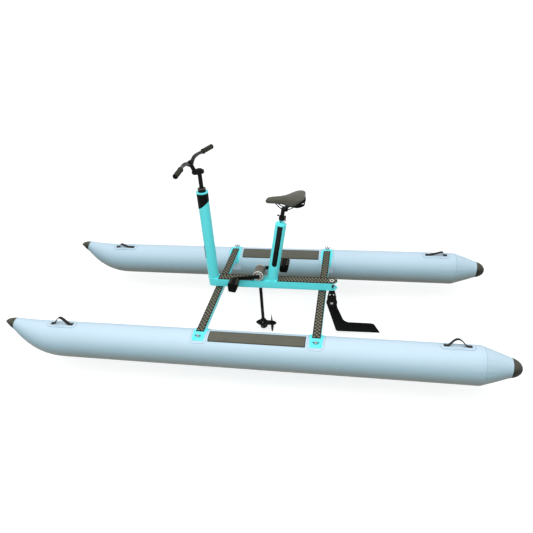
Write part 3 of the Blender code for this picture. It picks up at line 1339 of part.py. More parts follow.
def make_drive_shaft():
    """The vertical shaft: a pinion under the crown gear, and a crown gear over the propeller's pinion."""
    upper_pitch = CROWN_RADIUS / UPPER_RATIO
    pinion_low = CRANK_HEIGHT - CROWN_RADIUS
    pinion_high = pinion_low + PINION_FACE
    crown_face = LOWER_CROWN_RADIUS * POD_PITCH_SLOPE + GAP + 0.0001
    inner_radius = 0.010
    inner_face = inner_radius * POD_PITCH_SLOPE + GAP + 0.0001
    profile = [
        (0, pinion_high),
        (upper_pitch - PINION_FACE / UPPER_RATIO, pinion_high),
        (upper_pitch, pinion_low),
        (DRIVE_SHAFT_RADIUS, pinion_low),
        (DRIVE_SHAFT_RADIUS, PROP_HEIGHT + LOWER_CROWN_TOP),
        (LOWER_CROWN_RADIUS, PROP_HEIGHT + LOWER_CROWN_TOP - 0.002),
        (LOWER_CROWN_RADIUS, PROP_HEIGHT + crown_face),
        (inner_radius, PROP_HEIGHT + inner_face),
        (0, PROP_HEIGHT + inner_face),
    ]
    axis = axis_empty("drive_shaft_axis", None, (DRIVE_X, 0, 0))
    turned("drive_shaft", profile, "bright steel", axis, steps=SMALL_SIDES)


def blade_outline():
    """A propeller blade from its root in the hub to its rounded tip."""
    leading = [(half, radius) for radius, half in PROP_BLADE_CHORDS]
    trailing = [(-half, radius) for radius, half in reversed(PROP_BLADE_CHORDS)]
    return leading + [(0.0, PROP_DIAMETER / 2)] + trailing


def make_propeller():
    """The propeller with its shaft and pinion, turned about the pod's axis."""
    axis = axis_empty("propeller_axis", None, (DRIVE_X, 0, PROP_HEIGHT))
    hub_start = -POD_TAIL + GAP
    hub_end = hub_start + PROP_HUB_LENGTH
    gear_back = PROP_GEAR_RADIUS * LOWER_RATIO
    profile = [
        (0, hub_end + PROP_CONE_LENGTH),
        (PROP_HUB_RADIUS * 0.62, hub_end + PROP_CONE_LENGTH * 0.62),
        (PROP_HUB_RADIUS, hub_end),
        (PROP_HUB_RADIUS, hub_start),
        (PROP_SHAFT_RADIUS, hub_start),
        (PROP_SHAFT_RADIUS, gear_back + 0.002),
        (PROP_GEAR_RADIUS, gear_back + 0.001),
        (PROP_GEAR_RADIUS, gear_back),
        (PROP_GEAR_RADIUS / 2, gear_back / 2),
        (0, gear_back / 2),
    ]
    propeller = turned("propeller", profile, "black plastic", axis, rotation=(0, math.radians(-90), 0))
    blade = plate([blade_outline()], PROP_BLADE_THICKNESS, upright=True)
    blade.transform(Matrix.Rotation(PROP_PITCH_TURN, 4, "Z"))
    blade_x = -hub_start - PROP_HUB_LENGTH / 2
    for turn in (0, math.pi):
        join(propeller, blade, (blade_x, 0, 0), (turn, 0, 0))


def make_rudder():
    """The rudder shaft with its head, the bush on the top tongue, the blade and its bolt."""
    yaw = axis_empty("rudder_yaw_axis", None, (RUDDER_X, 0, 0))
    top = DRUM_MIDDLE + DRUM_HALF_HEIGHT + DRUM_FLANGE
    bottom = DRUM_MIDDLE - DRUM_HALF_HEIGHT - DRUM_FLANGE
    shaft_top = BEAM_TOP + GAP + BUSH_FLANGE - 0.001
    profile = [(0, shaft_top), (RUDDER_SHAFT_RADIUS, shaft_top), (RUDDER_SHAFT_RADIUS, top)]
    profile += drum_profile(top, bottom)
    foot = RUDDER_HEAD_TOP - 0.01
    profile += [(RUDDER_SHAFT_RADIUS, bottom), (RUDDER_SHAFT_RADIUS, foot), (0, foot)]
    post = turned("rudder_post", profile, "black paint", yaw)
    pivot = (0.0, RUDDER_PIVOT_HEIGHT)
    cheek = circle(RUDDER_CHEEK_RADIUS, pivot, SMALL_SIDES, -math.pi - 0.15, 0.15)
    outline = [(RUDDER_HEAD_WIDE_HALF, RUDDER_HEAD_WIDE_Z), (RUDDER_HEAD_TOP_HALF, RUDDER_HEAD_TOP)]
    outline += [(-RUDDER_HEAD_TOP_HALF, RUDDER_HEAD_TOP), (-RUDDER_HEAD_WIDE_HALF, RUDDER_HEAD_WIDE_Z)]
    windows = [list(RUDDER_WINDOW), [(-x, z) for x, z in RUDDER_WINDOW]]
    bolt_hole = circle(BOLT_RADIUS + GAP, pivot, TINY_SIDES)
    join(post, plate([outline + cheek], RUDDER_HEAD_THICKNESS, upright=True))
    for opening in (*windows, bolt_hole):
        cut(post, plate([opening], 2 * RUDDER_HEAD_THICKNESS, upright=True))
    slot_top = RUDDER_PIVOT_HEIGHT + BLADE_ROUND_RADIUS + BLADE_SLOT_LIFT
    slot_bottom = RUDDER_PIVOT_HEIGHT - 2 * RUDDER_CHEEK_RADIUS
    slot = block((4 * RUDDER_CHEEK_RADIUS, BLADE_THICKNESS + 2 * RUNNING_GAP, slot_top - slot_bottom))
    cut(post, slot, (0, 0, (slot_top + slot_bottom) / 2))
    grip_length = RUDDER_HEAD_THICKNESS + 2 * GAP
    bolt = pin_with_heads(BOLT_RADIUS, RUDDER_BOLT_HEAD_RADIUS, grip_length, RUDDER_BOLT_HEAD)
    piece("rudder_bolt", bolt, "bright steel", yaw, (0, 0, RUDDER_PIVOT_HEIGHT), (math.radians(90), 0, 0))
    kick = axis_empty("rudder_kick_axis", yaw, (0, 0, RUDDER_PIVOT_HEIGHT))
    lower_round = circle(BLADE_ROUND_RADIUS, (0, 0), SMALL_SIDES, -0.12, math.pi + 0.40)
    blade_hole = circle(BOLT_RADIUS + RUNNING_GAP, (0, 0), TINY_SIDES)
    blade_shape = plate([lower_round + list(BLADE_OUTLINE), blade_hole], BLADE_THICKNESS, upright=True)
    piece("rudder_blade", blade_shape, "black plastic", kick)
    bush_bore = RUDDER_SHAFT_RADIUS + RUNNING_GAP
    bush_bottom = BEAM_TOP - TONGUE_THICKNESS
    flange_bottom = BEAM_TOP + GAP
    bush = [
        (BUSH_FLANGE_RADIUS - 0.001, flange_bottom + BUSH_FLANGE),
        (BUSH_FLANGE_RADIUS, flange_bottom + BUSH_FLANGE - 0.001),
        (BUSH_FLANGE_RADIUS, flange_bottom),
        (BUSH_RADIUS, flange_bottom),
        (BUSH_RADIUS, bush_bottom),
        (bush_bore, bush_bottom),
        (bush_bore, flange_bottom + BUSH_FLANGE),
    ]
    turned("rudder_bush", bush, "pale bush", location=(RUDDER_X, 0, 0))


def make_all():
    """The whole bike."""
    pads = (("port", FLOAT_Y, PORT_PAD_ANGLES), ("starboard", -FLOAT_Y, STARBOARD_PAD_ANGLES))
    for side, y, angles in pads:
        make_float(side, y)
        make_pad(side, y, angles)
        make_handle(f"bow_handle_{side}", BOW_HANDLE_X, y)
        make_handle(f"stern_handle_{side}", STERN_HANDLE_X, y)
    for end, x in (("front", CROSSBAR_X), ("rear", -CROSSBAR_X)):
        make_crossbar(f"{end}_crossbar", x)
        make_crossbar_grip(f"{end}_crossbar_grip", x)
        make_crossbar_bolt(f"{end}_crossbar_bolt", x)
        for side, outboard in (("port", 1), ("starboard", -1)):
            make_stud_patch(f"stud_patch_{end}_{side}", x, outboard * FLOAT_Y, outboard)
            make_wing_nut(f"wing_nut_{end}_{side}", x, outboard * FLOAT_Y, outboard)
    make_beam()
    make_deck_grips()
    make_mast()
    make_steering()
    make_cable()
    make_seat()
    make_housing()
    make_cranks()
    make_leg()
    make_drive_shaft()
    make_propeller()
    make_rudder()


clear_scene()
parts = add_collection("inflatable water bike")
guides = add_collection("guides", hidden=True)
make_all()
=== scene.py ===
"""Looks of an inflatable water bike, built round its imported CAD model.

Two inflated floats, two crossbars, a box beam with mast, handlebar, seat, pedal drive and rudder.
Metres. +X points to the bow, +Y to port, +Z up; z = 0 lies on the floats' axis.
"""

import math

import bmesh
import bpy
from bpy.props import FloatProperty, FloatVectorProperty, PointerProperty
from mathutils import Matrix, Vector
from mathutils.geometry import interpolate_bezier


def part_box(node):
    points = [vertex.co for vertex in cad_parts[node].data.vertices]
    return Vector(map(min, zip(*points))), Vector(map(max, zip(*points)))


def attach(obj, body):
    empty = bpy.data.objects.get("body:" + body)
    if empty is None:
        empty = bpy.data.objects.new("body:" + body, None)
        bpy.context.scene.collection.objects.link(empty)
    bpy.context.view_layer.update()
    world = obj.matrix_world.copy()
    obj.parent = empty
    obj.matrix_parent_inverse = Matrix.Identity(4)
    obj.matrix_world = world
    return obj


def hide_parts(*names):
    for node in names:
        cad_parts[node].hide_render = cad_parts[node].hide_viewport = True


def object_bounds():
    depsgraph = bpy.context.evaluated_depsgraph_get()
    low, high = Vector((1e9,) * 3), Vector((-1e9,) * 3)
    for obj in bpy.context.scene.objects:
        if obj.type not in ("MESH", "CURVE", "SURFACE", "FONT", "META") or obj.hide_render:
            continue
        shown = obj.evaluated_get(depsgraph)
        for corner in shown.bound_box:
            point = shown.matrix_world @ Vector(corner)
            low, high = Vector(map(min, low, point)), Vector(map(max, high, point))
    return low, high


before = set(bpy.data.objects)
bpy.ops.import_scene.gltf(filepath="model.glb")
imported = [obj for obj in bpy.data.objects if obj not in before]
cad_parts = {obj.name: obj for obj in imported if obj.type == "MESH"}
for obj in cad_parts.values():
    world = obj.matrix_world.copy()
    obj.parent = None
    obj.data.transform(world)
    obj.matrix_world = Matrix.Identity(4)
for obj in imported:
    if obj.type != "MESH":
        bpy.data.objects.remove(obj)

bl_info = {
    "name": "Inflatable Water Bike",
    "version": (1, 0, 0),
    "blender": (4, 5, 0),
    "location": "View3D > Sidebar > Water Bike",
    "description": "Builds the visible pieces of an inflatable water bike round its CAD frame",
    "category": "Object",
}

CAD_LOW, CAD_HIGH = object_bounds()
FULL = math.tau
QUARTER = math.pi / 2
IDENTITY = Matrix.Identity(4)


def spin(degrees, axis):
    """A rotation matrix."""
    return Matrix.Rotation(math.radians(degrees), 4, axis)


def shift(*place):
    """A translation matrix."""
    return Matrix.Translation(Vector(place))


# Sizes read from the frame
FLOAT_LOW, FLOAT_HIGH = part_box("float_port")
FLOAT_RADIUS = (FLOAT_HIGH.y - FLOAT_LOW.y) / 2
FLOAT_Y = (FLOAT_HIGH.y + FLOAT_LOW.y) / 2
BOW_TIP_X = CAD_HIGH.x
TAIL_TIP_X = CAD_LOW.x
BEAM_LOW, BEAM_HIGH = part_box("main_beam")
BEAM_HALF = BEAM_HIGH.y
MAST_X = BEAM_HIGH.x - BEAM_HALF
RUDDER_X = BEAM_LOW.x + BEAM_HALF
MAST_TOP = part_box("head_tube")[1].z
BAR_LOW, BAR_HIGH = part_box("front_crossbar")
CROSSBAR_X = (BAR_LOW.x + BAR_HIGH.x) / 2
PROPELLER_LOW, PROPELLER_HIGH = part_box("propeller")
PROPELLER_Z = (PROPELLER_LOW.z + PROPELLER_HIGH.z) / 2
SIDES = (("port", 1), ("starboard", -1))
FLOATS = (("port", FLOAT_Y), ("starboard", -FLOAT_Y))
CROSSBARS = (("front", CROSSBAR_X), ("rear", -CROSSBAR_X))
# The gap that the CAD leaves between pieces that lie on each other
GAP = 0.0003
DECK = BEAM_HIGH.z + GAP

# Float shape, as the CAD has it
BOW_TAPER = 0.45
BOW_RISE = 0.1723
BOW_LEAN = 0.35
BOW_CAP = 0.072
BOW_CAP_SECTIONS = (
    (0.052, 0.117, 0.034), (0.034, 0.124, 0.0252), (0.017, 0.128, 0.0155), (0.005, 0.1265, 0.0075),
    (0.0004, 0.1252, 0.0034),
)
SEAM_X = TAIL_TIP_X + 0.2325
SHOULDER = 0.035
SHOULDER_DROP = 0.0035
STERN_CAP = 0.07
STERN_CAP_RADIUS = 0.0615
SEAM_LEAN = 0.07
STERN_CAP_LEAN = 0.1
STERN_CAP_DROP = 0.003
STERN_CAP_X = TAIL_TIP_X + STERN_CAP * math.cos(math.atan(STERN_CAP_LEAN))
STERN_CAP_OUTLINE = (
    (0.0032, 0.0004), (0.018, 0.0036), (0.034, 0.0136), (0.048, 0.0306), (0.0578, 0.0515),
    (STERN_CAP_RADIUS, STERN_CAP - 0.0006),
)
# How far from a cap's edge along the float, and how proud of it, or the radius as a share for the lip
BOW_HEM = ((0.0004, 0.0), (0.0008, 0.0012), (0.005, 0.0012), (0.006, 0.0))
STERN_HEM = ((0.0055, 0.0), (0.0045, 0.0012), (0.0004, 0.0012), (0.0003, 0.0))
CAP_LIP = ((0.0006, 0.99), (0.0008, 1.025), (0.0052, 1.005), (0.006, 0.965))
VALVE_X = -1.05
PAD_HALF = 0.315
FLOAT_SIDES = 96
BEND_STEP = 0.006

# Crossbars and saddles
CROSSBAR_WIDTH = 0.056
CROSSBAR_HEIGHT = 0.034
SADDLE_INSIDE = FLOAT_RADIUS + 0.0014
SADDLE_PLATE = 0.003
SADDLE_OUTSIDE = SADDLE_INSIDE + SADDLE_PLATE
CROSSBAR_TOP = SADDLE_OUTSIDE + 0.002
STUD_ANGLE = 16.0
GRIP_BOTTOM = CROSSBAR_TOP + GAP
GRIP_THICKNESS = 0.0022
# How much of its pitch a grip's diamond fills, and how much of its foot its top does
DIAMOND_FILL = 0.74
DIAMOND_TOP = 0.84
WING = (
    (0.0055, 0.002), (0.0125, 0.004), (0.018, 0.0082), (0.022, 0.0135), (0.0236, 0.0186), (0.0218, 0.0212),
    (0.018, 0.0204), (0.0135, 0.0158), (0.0085, 0.0112), (0.0055, 0.0104),
)
CUFF = ((0.0078, 0.0022), (0.0125, 0.0036), (0.0172, 0.0074), (0.0176, 0.0206), (0.0135, 0.0166), (0.0078, 0.011))

# Steering, seat and drive frames at rest; angles in degrees
BAR_TURN = -7.2
SEAT_LEAN = 10.7
CRANK_DIP = 7
LYING = spin(-90, "X")
UPRIGHT = spin(90, "X")
STEERING = shift(MAST_X, 0, 0) @ spin(BAR_TURN, "Z")
STEM_PIVOT = Vector((0.0315, 0, 1.0135))
BAR_CLAMP = Vector((0.057, 0, 1.0717))
SEAT_X = -0.018
SEAT = shift(SEAT_X, 0, BEAM_HIGH.z) @ spin(-SEAT_LEAN, "Y")
POST_HEAD = SEAT @ shift(-0.0195, 0, 0.574)
SADDLE = POST_HEAD @ spin(SEAT_LEAN, "Y")
DRIVE_X = 0.0745
CRANK_Z = 0.2505
CRANK_LENGTH = 0.17
CRANK_OUTER = 0.0655
CRANKS = shift(DRIVE_X, 0, CRANK_Z) @ spin(CRANK_DIP, "Y")
RUDDER_PIVOT_Z = 0.0155
# The drum that the steering cable runs round, on the column and on the rudder shaft
CABLE_DRUM = ((0.016, 0.187), (0.016, 0.184), (0.0116, 0.184), (0.0116, 0.162), (0.016, 0.162), (0.016, 0.159))
# The handlebar's centre line on the port side, from the clamp's centre to the grip's end
BAR_ROUTE = (
    (0, 0.0, 0), (0, 0.018, 0), (0, 0.033, 0.0025), (0, 0.044, 0.0085), (-0.0002, 0.06, 0.016),
    (-0.0006, 0.088, 0.0205), (-0.005, 0.13, 0.0215), (-0.0175, 0.1745, 0.0215), (-0.036, 0.29, 0.0205),
)
LEG_BOSS = (
    (0.0135, 0.04), (0.0165, 0.034), (0.0232, 0.026), (0.0242, 0.01), (0.0242, -0.03), (0.0222, -0.04),
    (0.015, -0.0465), (0.006, -0.0482),
)
LEG_POD = (
    (0.0025, 0.0578), (0.0085, 0.0525), (0.0155, 0.042), (0.024, 0.024), (0.0265, 0.002), (0.024, -0.016),
    (0.019, -0.03), (0.018, -0.0555),
)
# Radius and half chord along a propeller blade
BLADE_CHORDS = (
    (0.01, 0.0085), (0.02, 0.0115), (0.032, 0.0142), (0.046, 0.0155), (0.06, 0.0148), (0.071, 0.012), (0.078, 0.0082),
    (0.0825, 0.003),
)
# The rudder blade below its eye, from the front round its toe
BLADE_EDGE = (
    (-0.041, -0.044), (-0.07, -0.115), (-0.084, -0.15), (-0.096, -0.166), (-0.123, -0.177), (-0.286, -0.176),
    (-0.303, -0.179), (-0.314, -0.186), (-0.358, -0.257), (-0.045, -0.262), (-0.036, -0.257), (-0.031, -0.248),
)
SMALL_SCREW = (0.0026, 0.0016)
# How much thicker the beads round the mast and the seat tube are than the others
TUBE_WELD = 1.25
LAMP_PLACE = Vector((0.0, 2.4, 4.0))
LAMP_SIZE = 5.0


def srgb(red, green, blue):
    """A colour given in 0 to 255, as linear light."""
    shares = (red / 255, green / 255, blue / 255)
    return tuple(c / 12.92 if c <= 0.04045 else ((c + 0.055) / 1.055) ** 2.4 for c in shares)


def colour(label, description, red, green, blue):
    """A colour property."""
    return FloatVectorProperty(
        name=label, description=description, subtype="COLOR", size=3, min=0.0, max=1.0, default=srgb(red, green, blue)
    )


def length(label, description, default, low=0.0, high=0.5):
    """A length property."""
    return FloatProperty(
        name=label, description=description, default=default, min=low, max=high, unit="LENGTH", precision=4
    )


class BikeColours(bpy.types.PropertyGroup):
    """Colours of the finishes."""

    float_pvc: colour("Floats", "Coated fabric of the two floats", 213, 234, 249)
    patch_pvc: colour("Patches", "Clear sheet under the saddles", 200, 221, 236)
    seam: colour("Seams", "Glue line along the welded seams", 150, 172, 190)
    cap_rubber: colour("Caps", "Rubber caps on the floats' ends", 84, 82, 72)
    foam: colour("Deck pads", "Foam pads glued on the floats", 108, 106, 95)
    foam_rim: colour("Pad rims", "Darker lower layer of the deck pads", 72, 68, 56)
    webbing: colour("Straps", "Webbing of the carrying handles", 44, 42, 40)
    frame_paint: colour("Frame", "Gloss powder coat of the frame", 108, 249, 254)
    ridge: colour("Grip ridges", "Raised diamonds of the standing grips", 131, 127, 112)
    groove: colour("Grip grooves", "Ground between the raised diamonds", 50, 47, 38)
    black_alloy: colour("Black alloy", "Anodised stem, post, cranks and leg", 10, 10, 8)
    black_gloss: colour("Black gloss", "Handlebar, rails and screws", 8, 11, 8)
    bar_gloss: colour("Handlebar", "Lacquered handlebar", 26, 24, 19)
    bright_steel: colour("Bright steel", "Bolts and wing nuts", 176, 176, 172)
    satin_steel: colour("Satin rings", "Machined rings of the gear housing", 214, 212, 203)
    blue_nylon: colour("Nut cuffs", "Nylon cuffs on the wing nuts", 44, 120, 176)
    grey_alloy: colour("Grey alloy", "Gear housing", 100, 96, 86)
    black_plastic: colour("Black plastic", "Pedals, propeller and rudder", 7, 9, 6)
    grip_rubber: colour("Hand grips", "Rubber of the hand grips and treads", 54, 52, 44)
    saddle_cover: colour("Saddle cover", "Synthetic leather of the saddle", 84, 82, 72)
    pale_bush: colour("Bush", "Pale nylon bush of the rudder post", 222, 218, 208)


class BikeSizes(bpy.types.PropertyGroup):
    """Sizes of the visible details."""

    weld: length("Weld bead", "Radius of the weld beads", 0.0022, 0.0005, 0.006)
    seam_width: length("Seam tape", "Width of the float's welded tapes", 0.026, 0.005, 0.08)
    ridge_x: length("Diamond length", "Pitch of the grip's diamonds along the bike", 0.024, 0.004, 0.04)
    ridge_y: length("Diamond width", "Pitch of the grip's diamonds across the bike", 0.034, 0.004, 0.06)
    ridge_height: length("Diamond height", "How far the diamonds stand above their ground", 0.0011, 0.0002, 0.003)
    pad_rim: length("Pad rim", "How far a deck pad's lower layer shows", 0.0045, 0.0, 0.02)
    strap_width: length("Strap width", "Width of the carrying straps", 0.027, 0.015, 0.05)
    strap_rise: length("Strap rise", "Height of a carrying strap's arch", 0.046, 0.01, 0.08)


class StageSettings(bpy.types.PropertyGroup):
    """Floor, light and camera."""

    floor_half: length("Floor half width", "Half the width of the floor", 60.0, 5.0, 200.0)
    ambient: FloatProperty(
        name="Ambient", description="Strength of the studio's even light", default=0.62, min=0.0, max=3.0
    )
    key: FloatProperty(
        name="Key", description="Power of the soft light overhead", default=135.0, min=0.0, max=4000.0, unit="POWER"
    )
    camera_place: FloatVectorProperty(
        name="Camera", description="Place of the camera", subtype="TRANSLATION", size=3,
        default=(-0.5862, 2.9286, 2.1228),
    )
    camera_turn: FloatVectorProperty(
        name="Camera turn", description="Yaw, pitch and roll of the camera", subtype="EULER", size=3,
        default=(0.2037 + math.pi, -0.5465, -0.0722),
    )
    camera_lens: FloatProperty(
        name="Lens", description="Focal length on a 36 mm sensor", default=32.987, min=10.0, max=200.0
    )


# Mesh tools


def only_verts(things):
    """The points in a mesh operation's result."""
    return [thing for thing in things if isinstance(thing, bmesh.types.BMVert)]


def only_edges(things):
    """The edges in a mesh operation's result."""
    return [thing for thing in things if isinstance(thing, bmesh.types.BMEdge)]


def ring_edges(bm, verts):
    """New edges that join the points in a ring."""
    return [bm.edges.new(pair) for pair in zip(verts, verts[1:] + verts[:1])]


def bevelled(bm, parts, width, segments, affect, clamp=True):
    """Round these edges or corners."""
    bmesh.ops.bevel(
        bm, geom=parts, offset=width, offset_type="OFFSET", segments=segments, profile=0.5, affect=affect,
        clamp_overlap=clamp, material=-1,
    )


def thickened(bm, thickness):
    """Give a flat shape its thickness."""
    top = bmesh.ops.extrude_face_region(bm, geom=bm.faces[:])["geom"]
    bmesh.ops.translate(bm, vec=(0, 0, thickness), verts=only_verts(top))
    bmesh.ops.recalc_face_normals(bm, faces=bm.faces)


def lofted(sections):
    """A closed skin over sections that are each a ring of points."""
    bm = bmesh.new()
    loops = [ring_edges(bm, [bm.verts.new(point) for point in points]) for points in sections]
    for first, second in zip(loops, loops[1:]):
        bmesh.ops.bridge_loops(bm, edges=first + second)
    bmesh.ops.edgeloop_fill(bm, edges=loops[0] + loops[-1])
    bmesh.ops.recalc_face_normals(bm, faces=bm.faces)
    return bm


def lifted(points, height):
    """The (radius, height) points of a profile, raised."""
    return [(radius, at + height) for radius, at in points]


def mirrored(points):
    """The flat points on the other side of the Y axis, in the order that closes an outline."""
    return [(-x, y) for x, y in reversed(points)]


def facing_out(place, side, reach):
    """A frame beside the place with its Z pointing away from it, to port for 1 and to starboard for -1."""
    return place @ shift(0, side * reach, 0) @ spin(-side * 90, "X")


def merged(*shapes):
    """Several bmeshes as one; the first one is kept."""
    first = shapes[0]
    for other in shapes[1:]:
        mesh = bpy.data.meshes.new("part")
        other.to_mesh(mesh)
        other.free()
        first.from_mesh(mesh)
        bpy.data.meshes.remove(mesh)
    return first


def placed(bm, matrix):
    """The shape, moved."""
    bmesh.ops.transform(bm, matrix=matrix, verts=bm.verts)
    if matrix.determinant() < 0:
        bmesh.ops.reverse_faces(bm, faces=bm.faces)
    return bm


def soften(bm, width, segments=2, angle=30.0):
    """Round the edges that are sharper than the angle."""
    limit = math.radians(angle)
    sharp = [edge for edge in bm.edges if edge.is_manifold and edge.calc_face_angle() > limit]
    if sharp and width > 0:
        bevelled(bm, sharp, width, segments, "EDGES")
    return bm


def box(size, centre=(0, 0, 0), edge=0.0015, segments=2, place=IDENTITY):
    """A block with rounded edges."""
    bm = bmesh.new()
    bmesh.ops.create_cube(bm, size=1.0, matrix=shift(*centre) @ Matrix.Diagonal((*size, 1.0)))
    return placed(soften(bm, edge, segments), place)


def rod(radius, bottom, top, place=IDENTITY, edge=0.0008, sides=32, end_radius=None):
    """A round bar or taper along its own Z."""
    bm = bmesh.new()
    end = radius if end_radius is None else end_radius
    bmesh.ops.create_cone(
        bm, cap_ends=True, segments=sides, radius1=radius, radius2=end, depth=top - bottom,
        matrix=shift(0, 0, (bottom + top) / 2),
    )
    return placed(soften(bm, edge), place)


def turned(profile, place=IDENTITY, steps=48, edge=0.0, angle=FULL):
    """A turned piece from (radius, height) points, closed on the axis or on itself."""
    bm = bmesh.new()
    verts = [bm.verts.new((radius, 0, height)) for radius, height in profile]
    edges = [bm.edges.new(pair) for pair in zip(verts, verts[1:])]
    if profile[0][0] > 0:
        edges.append(bm.edges.new((verts[-1], verts[0])))
    bmesh.ops.spin(
        bm, geom=verts + edges, cent=(0, 0, 0), axis=(0, 0, 1), angle=angle, steps=steps, use_merge=angle == FULL,
        use_duplicate=False,
    )
    bmesh.ops.remove_doubles(bm, verts=bm.verts, dist=0.000001)
    bmesh.ops.recalc_face_normals(bm, faces=bm.faces)
    return placed(soften(bm, edge), place)


def plate(outline, thickness, place=IDENTITY, holes=(), edge=0.0, corner=0.0, segments=2):
    """A flat outline with holes, thick about its own XY plane, with its corners and edges rounded."""
    bm = bmesh.new()
    loops = []
    for points in (outline, *holes):
        loops.append(ring_edges(bm, [bm.verts.new((x, y, -thickness / 2)) for x, y in points]))
    if holes:
        bmesh.ops.triangle_fill(bm, use_beauty=True, use_dissolve=False, edges=sum(loops, []))
    else:
        bmesh.ops.edgeloop_fill(bm, edges=loops[0])
    if corner > 0:
        bevelled(bm, bm.verts[:], corner, 4, "VERTICES")
    thickened(bm, thickness)
    return placed(soften(bm, edge, segments), place)


def circle(radius, centre=(0.0, 0.0), sides=32, start=0.0, stop=FULL):
    """Points round a circle, or along an arc of it with both ends."""
    count = sides if stop - start >= FULL else sides + 1
    step = (stop - start) / sides
    return [
        (centre[0] + radius * math.cos(start + step * i), centre[1] + radius * math.sin(start + step * i))
        for i in range(count)
    ]


def rectangle(half_x, half_y, centre=(0.0, 0.0)):
    """The corners of a rectangle."""
    return [(centre[0] + sx * half_x, centre[1] + sy * half_y) for sx, sy in ((-1, -1), (1, -1), (1, 1), (-1, 1))]


def link_outline(first_radius, second_radius, reach, sides=16):
    """Two circles on X joined by their tangents, the first at the origin."""
    tilt = math.acos((first_radius - second_radius) / reach)
    far = circle(second_radius, (reach, 0), sides, -tilt, tilt)
    return far + circle(first_radius, (0, 0), sides, tilt, FULL - tilt)


def sweep(stations, outline=None, sides=24, closed=False):
    """An outline of unit size carried through the stations' matrices; it notes each point's run along the sweep."""
    bm = bmesh.new()
    run = bm.verts.layers.float.new("run")
    if outline:
        verts = [bm.verts.new((x, y, 0)) for x, y in outline]
        edges = ring_edges(bm, verts)
    else:
        verts = bmesh.ops.create_circle(bm, cap_ends=False, segments=sides, radius=1.0)["verts"]
        edges = list(bm.edges)
    bmesh.ops.transform(bm, matrix=stations[0], verts=verts)
    first = edges
    distance = 0.0
    for before, after in zip(stations, stations[1:]):
        grown = bmesh.ops.extrude_edge_only(bm, edges=edges)["geom"]
        verts, edges = only_verts(grown), only_edges(grown)
        bmesh.ops.transform(bm, matrix=after @ before.inverted(), verts=verts)
        distance += (after.translation - before.translation).length
        for vert in verts:
            vert[run] = distance
    if closed:
        bmesh.ops.remove_doubles(bm, verts=bm.verts, dist=0.00001)
    else:
        bmesh.ops.edgeloop_fill(bm, edges=first + edges)
    bmesh.ops.recalc_face_normals(bm, faces=bm.faces)
    return bm


def route_stations(points, side, halves):
    """Frames along a route, scaled to the half width and half height given for each point."""
    points = [Vector(point) for point in points]
    side = Vector(side)
    stations = []
    for i, point in enumerate(points):
        ahead = (points[min(i + 1, len(points) - 1)] - points[max(i - 1, 0)]).normalized()
        side = (side - ahead * side.dot(ahead)).normalized()
        half_wide, half_high = halves[i] if isinstance(halves, list) else halves
        turn = Matrix((side * half_wide, ahead.cross(side) * half_high, ahead)).transposed().to_4x4()
        stations.append(Matrix.Translation(point) @ turn)
    return stations


def smooth_route(points, steps=6):
    """A smooth line through the points."""
    knots = [Vector(point) for point in points]
    line = []
    for i in range(len(knots) - 1):
        before, after = knots[max(i - 1, 0)], knots[min(i + 2, len(knots) - 1)]
        start, end = knots[i], knots[i + 1]
        line += interpolate_bezier(start, start + (end - before) / 6, end - (after - start) / 6, end, steps + 1)[:-1]
    return line + [knots[-1]]


def smooth_outline(points, steps):
    """A smooth line through flat points, as flat points."""
    return [(at.x, at.y) for at in smooth_route([(x, y, 0) for x, y in points], steps)]


def tube(points, radius, side=(0, 0, 1), sides=24):
    """A round bar along a route; its radius is one value, or a list of one for each point."""
    halves = [(r, r) for r in radius] if isinstance(radius, list) else (radius, radius)
    return sweep(route_stations(points, side, halves), sides=sides)


def weld_bead(points, radius, side, closed=False):
    """A rippled bead along a route, as a welder's torch leaves it."""
    ripple = 0.16
    halves = [(radius * (1 + ripple * math.sin(i * 1.9)),) * 2 for i in range(len(points))]
    stations = route_stations(points, side, halves)
    if closed:
        stations.append(stations[0])
    return sweep(stations, sides=10, closed=closed)


def ring_points(radius, height, count, place=IDENTITY):
    """Points round the place's Z axis."""
    return [place @ Vector((x, y, height)) for x, y in circle(radius, sides=count)]


def bent(bm, radius, y, mirror=1):
    """A flat sheet bent over a float's axis: its Y becomes the run round the float, its Z the height off it."""
    for vert in bm.verts:
        angle = vert.co.y / radius
        reach = radius + vert.co.z
        vert.co = Vector((vert.co.x, y + mirror * reach * math.sin(angle), reach * math.cos(angle)))
    if mirror < 0:
        bmesh.ops.reverse_faces(bm, faces=bm.faces)
    return bm


def sliced(bm, start, stop, step, axis=1):
    """Cut the shape across an axis at even steps, so that it can bend."""
    count = max(1, math.ceil((stop - start) / step))
    normal = Vector((axis == 0, axis == 1, axis == 2))
    for i in range(1, count):
        place = normal * (start + (stop - start) * i / count)
        bmesh.ops.bisect_plane(bm, geom=bm.verts[:] + bm.edges[:] + bm.faces[:], plane_co=place, plane_no=normal)
    return bm


def carved(bm, *tools, operation="DIFFERENCE"):
    """The shape with each tool cut from it or joined to it."""
    for tool in tools:
        body, cutter = (bpy.data.objects.new("carving", bpy.data.meshes.new("carving")) for _ in range(2))
        for obj, shape in ((body, bm), (cutter, tool)):
            shape.to_mesh(obj.data)
            shape.free()
            bpy.context.scene.collection.objects.link(obj)
        modifier = body.modifiers.new("carve", "BOOLEAN")
        modifier.operation = operation
        modifier.solver = "EXACT"
        modifier.object = cutter
        graph = bpy.context.evaluated_depsgraph_get()
        mesh = bpy.data.meshes.new_from_object(body.evaluated_get(graph))
        bm = bmesh.new()
        bm.from_mesh(mesh)
        for obj in (body, cutter):
            bpy.data.objects.remove(obj)
        bpy.data.meshes.remove(mesh)
    return bm


